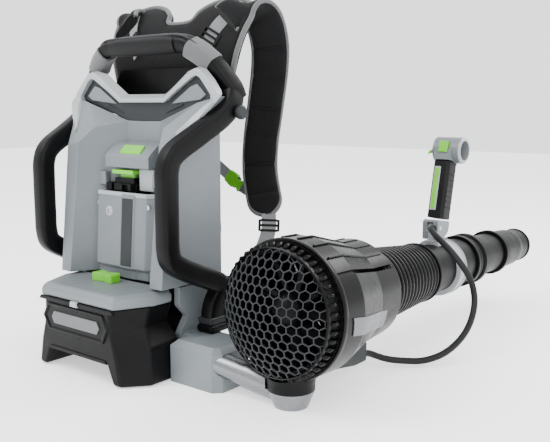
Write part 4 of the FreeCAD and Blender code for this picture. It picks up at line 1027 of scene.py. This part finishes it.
def ring_set(name, spots, slot, body):
    """Raised bands, each (from, to, radius under it, height)."""
    for index, (near, far, radius, height) in enumerate(spots):
        edge, top = min(1.2, height / 2), radius + height
        profile = [(near, radius - 1), (near, top - edge), (near + edge, top), (far - edge, top),
                   (far, top - edge), (far, radius - 1)]
        lathe("%s_%d" % (name, index), profile, slot, body, smooth=30)


def cover_point(station, height):
    """A point 1 mm proud of the side cover, by its station and its height over the blower line."""
    turns = [(0, 102.4), (72, 102.4), (150, 82.4), (214, 76.4)]
    for (near, first), (far, last) in zip(turns, turns[1:]):
        if station <= far:
            break
    radius = first + (last - first) * (station - near) / (far - near) + 1.0
    return LINE @ mm(math.sqrt(radius ** 2 - height ** 2), station, height)


def blower_details():
    """Edge band, duct rings, ribs of the upper shroud and the blank plate on the side cover."""
    edge_band = [(22, 97), (22, 100.5), (24, 101.6), (31, 101.6), (33, 100.5), (33, 97)]
    lathe("housing_band", edge_band, "gloss_black", "blower")
    ring_set("duct_ring", [(196, 200, 70, 1.6), (205, 208, 70, 1.6)], "black_plastic", "blower")
    # ribs along the upper shroud
    for index, angle in enumerate((52, 68, 84, 100, 116, 132)):
        turn = LINE @ Matrix.Rotation(-math.radians(angle), 4, "Y")
        line = [turn @ mm(r, s, 0) / MM for r, s in ((101.6, 36), (101.6, 69), (82.6, 150), (82.6, 190))]
        cord_line("shroud_rib_%d" % index, line, 1.5, "gloss_black", "blower")
    # blank plate along the side cover
    work = bmesh.new()
    grid = []
    for i in range(15):
        share = i / 14
        station, high, low = 42 + 124 * share, 3 - 15 * share, -23 - 17 * share
        grid.append([work.verts.new(cover_point(station + 3 * k / 4, high + (low - high) * k / 4))
                     for k in range(5)])
    for first, second in zip(grid, grid[1:]):
        for k in range(4):
            work.faces.new((first[k], second[k], second[k + 1], first[k + 1]))
    plate = object_from("side_plate", work, "badge", "blower", 30)
    plate.modifiers.new("wall", "SOLIDIFY").thickness = 0.0018
    rounded(plate, 0.0005)


def tube_details():
    """Collars and bands of the tube, its clamp and the nozzle."""
    ring_set("tube_collar", [(392.5, 400, 51, 2.0)], "black_plastic", "tube")
    coupling = [(556.5, 566, 44, 5.5), (572, 578, 44, 3.4), (588, 600, 44, 6.0)]
    ring_set("coupling", coupling, "black_plastic", "tube")
    ring_set("nozzle_ring", [(700.5, 712, 41, 4.2), (716, 720, 40, 3.2), (843, 849.5, 31.5, 4.0)],
             "black_plastic", "nozzle")
    ring_set("clamp_band", [(470.5, 473.5, 51, 2.0), (492.5, 495.5, 51, 2.0)], "light_grey", "tube")


# ---------------------------------------------------------------- handle

def handle_details():
    """Strip and ribs of the grip, and the face, ring and neck of its control head."""
    border = [(-10, 16), (2, 16), (2, 96), (-10, 96)]
    prism("strip_border", "XZ", border, -20.8, -17, "light_grey", "handle", 0.001, LEAN)
    strip = [(-8, 18.5), (0, 18.5), (0, 93.5), (-8, 93.5)]
    piece = prism("strip_green", "XZ", strip, -22, -18, "green", "handle", 0.0008, LEAN)
    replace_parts(piece, "grip_strip")
    head = Matrix.Translation(mm(0, 8, 130))
    face = LEAN @ head @ Matrix.Rotation(math.radians(-90), 4, "Z")
    disc = [(27.5, 0.2), (30.8, 0.2), (31.2, 14), (30, 17), (27.5, 17.5)]
    lathe("head_face", disc, "dark_grey", "handle", face, 64)
    ring = [(26, 17.5), (31.2, 18), (31.2, 20.5), (28.5, 23.5), (26, 23.5)]
    lathe("head_ring", ring, "light_grey", "handle", face, 64)
    neck = [(-14, -15), (14, -15), (15, -8), (15, 18), (-15, 18), (-15, -8)]
    prism("head_neck", "XY", neck, 101, 112, "black_plastic", "handle", 0.003, LEAN)
    for index, z in enumerate((24, 34, 44, 54, 64, 74, 84)):
        arc = smooth_path([(15.7, -12, z), (16.6, 0, z), (15.7, 12, z)], 9)
        cord_line("grip_rib_%d" % index, [LEAN @ mm(*p) / MM for p in arc], 0.9, "soft_black", "handle")


for build in (shell_skin, rim, horn_shade_linings, column, shoulder_pads, harness_webbing, harness_cushions,
              chest, bar_pieces, carry_handle, battery_skin, battery_details, grille, louvres, bellows,
              blower_details, tube_details, handle_details):
    build()

# ---------------------------------------------------------------- CAD nodes with rounded edges

SOFT_EDGES = {
    "base_frame": 0.004, "latch_block": 0.002,
    "battery_top": 0.004, "battery_stem": 0.002, "terminal_block": 0.0008,
    "ejector_cap": 0.0012, "release_button": 0.0012, "cable_fin": 0.003, "grip": 0.004,
    "handle_knuckle": 0.003, "control_head": 0.003, "tube_clamp": 0.0015, "trigger": 0.002,
    "boost_button": 0.0012, "cruise_lever": 0.001, "lock_knob": 0.002,
}
for node_name, edge in SOFT_EDGES.items():
    softened(node_name, edge)
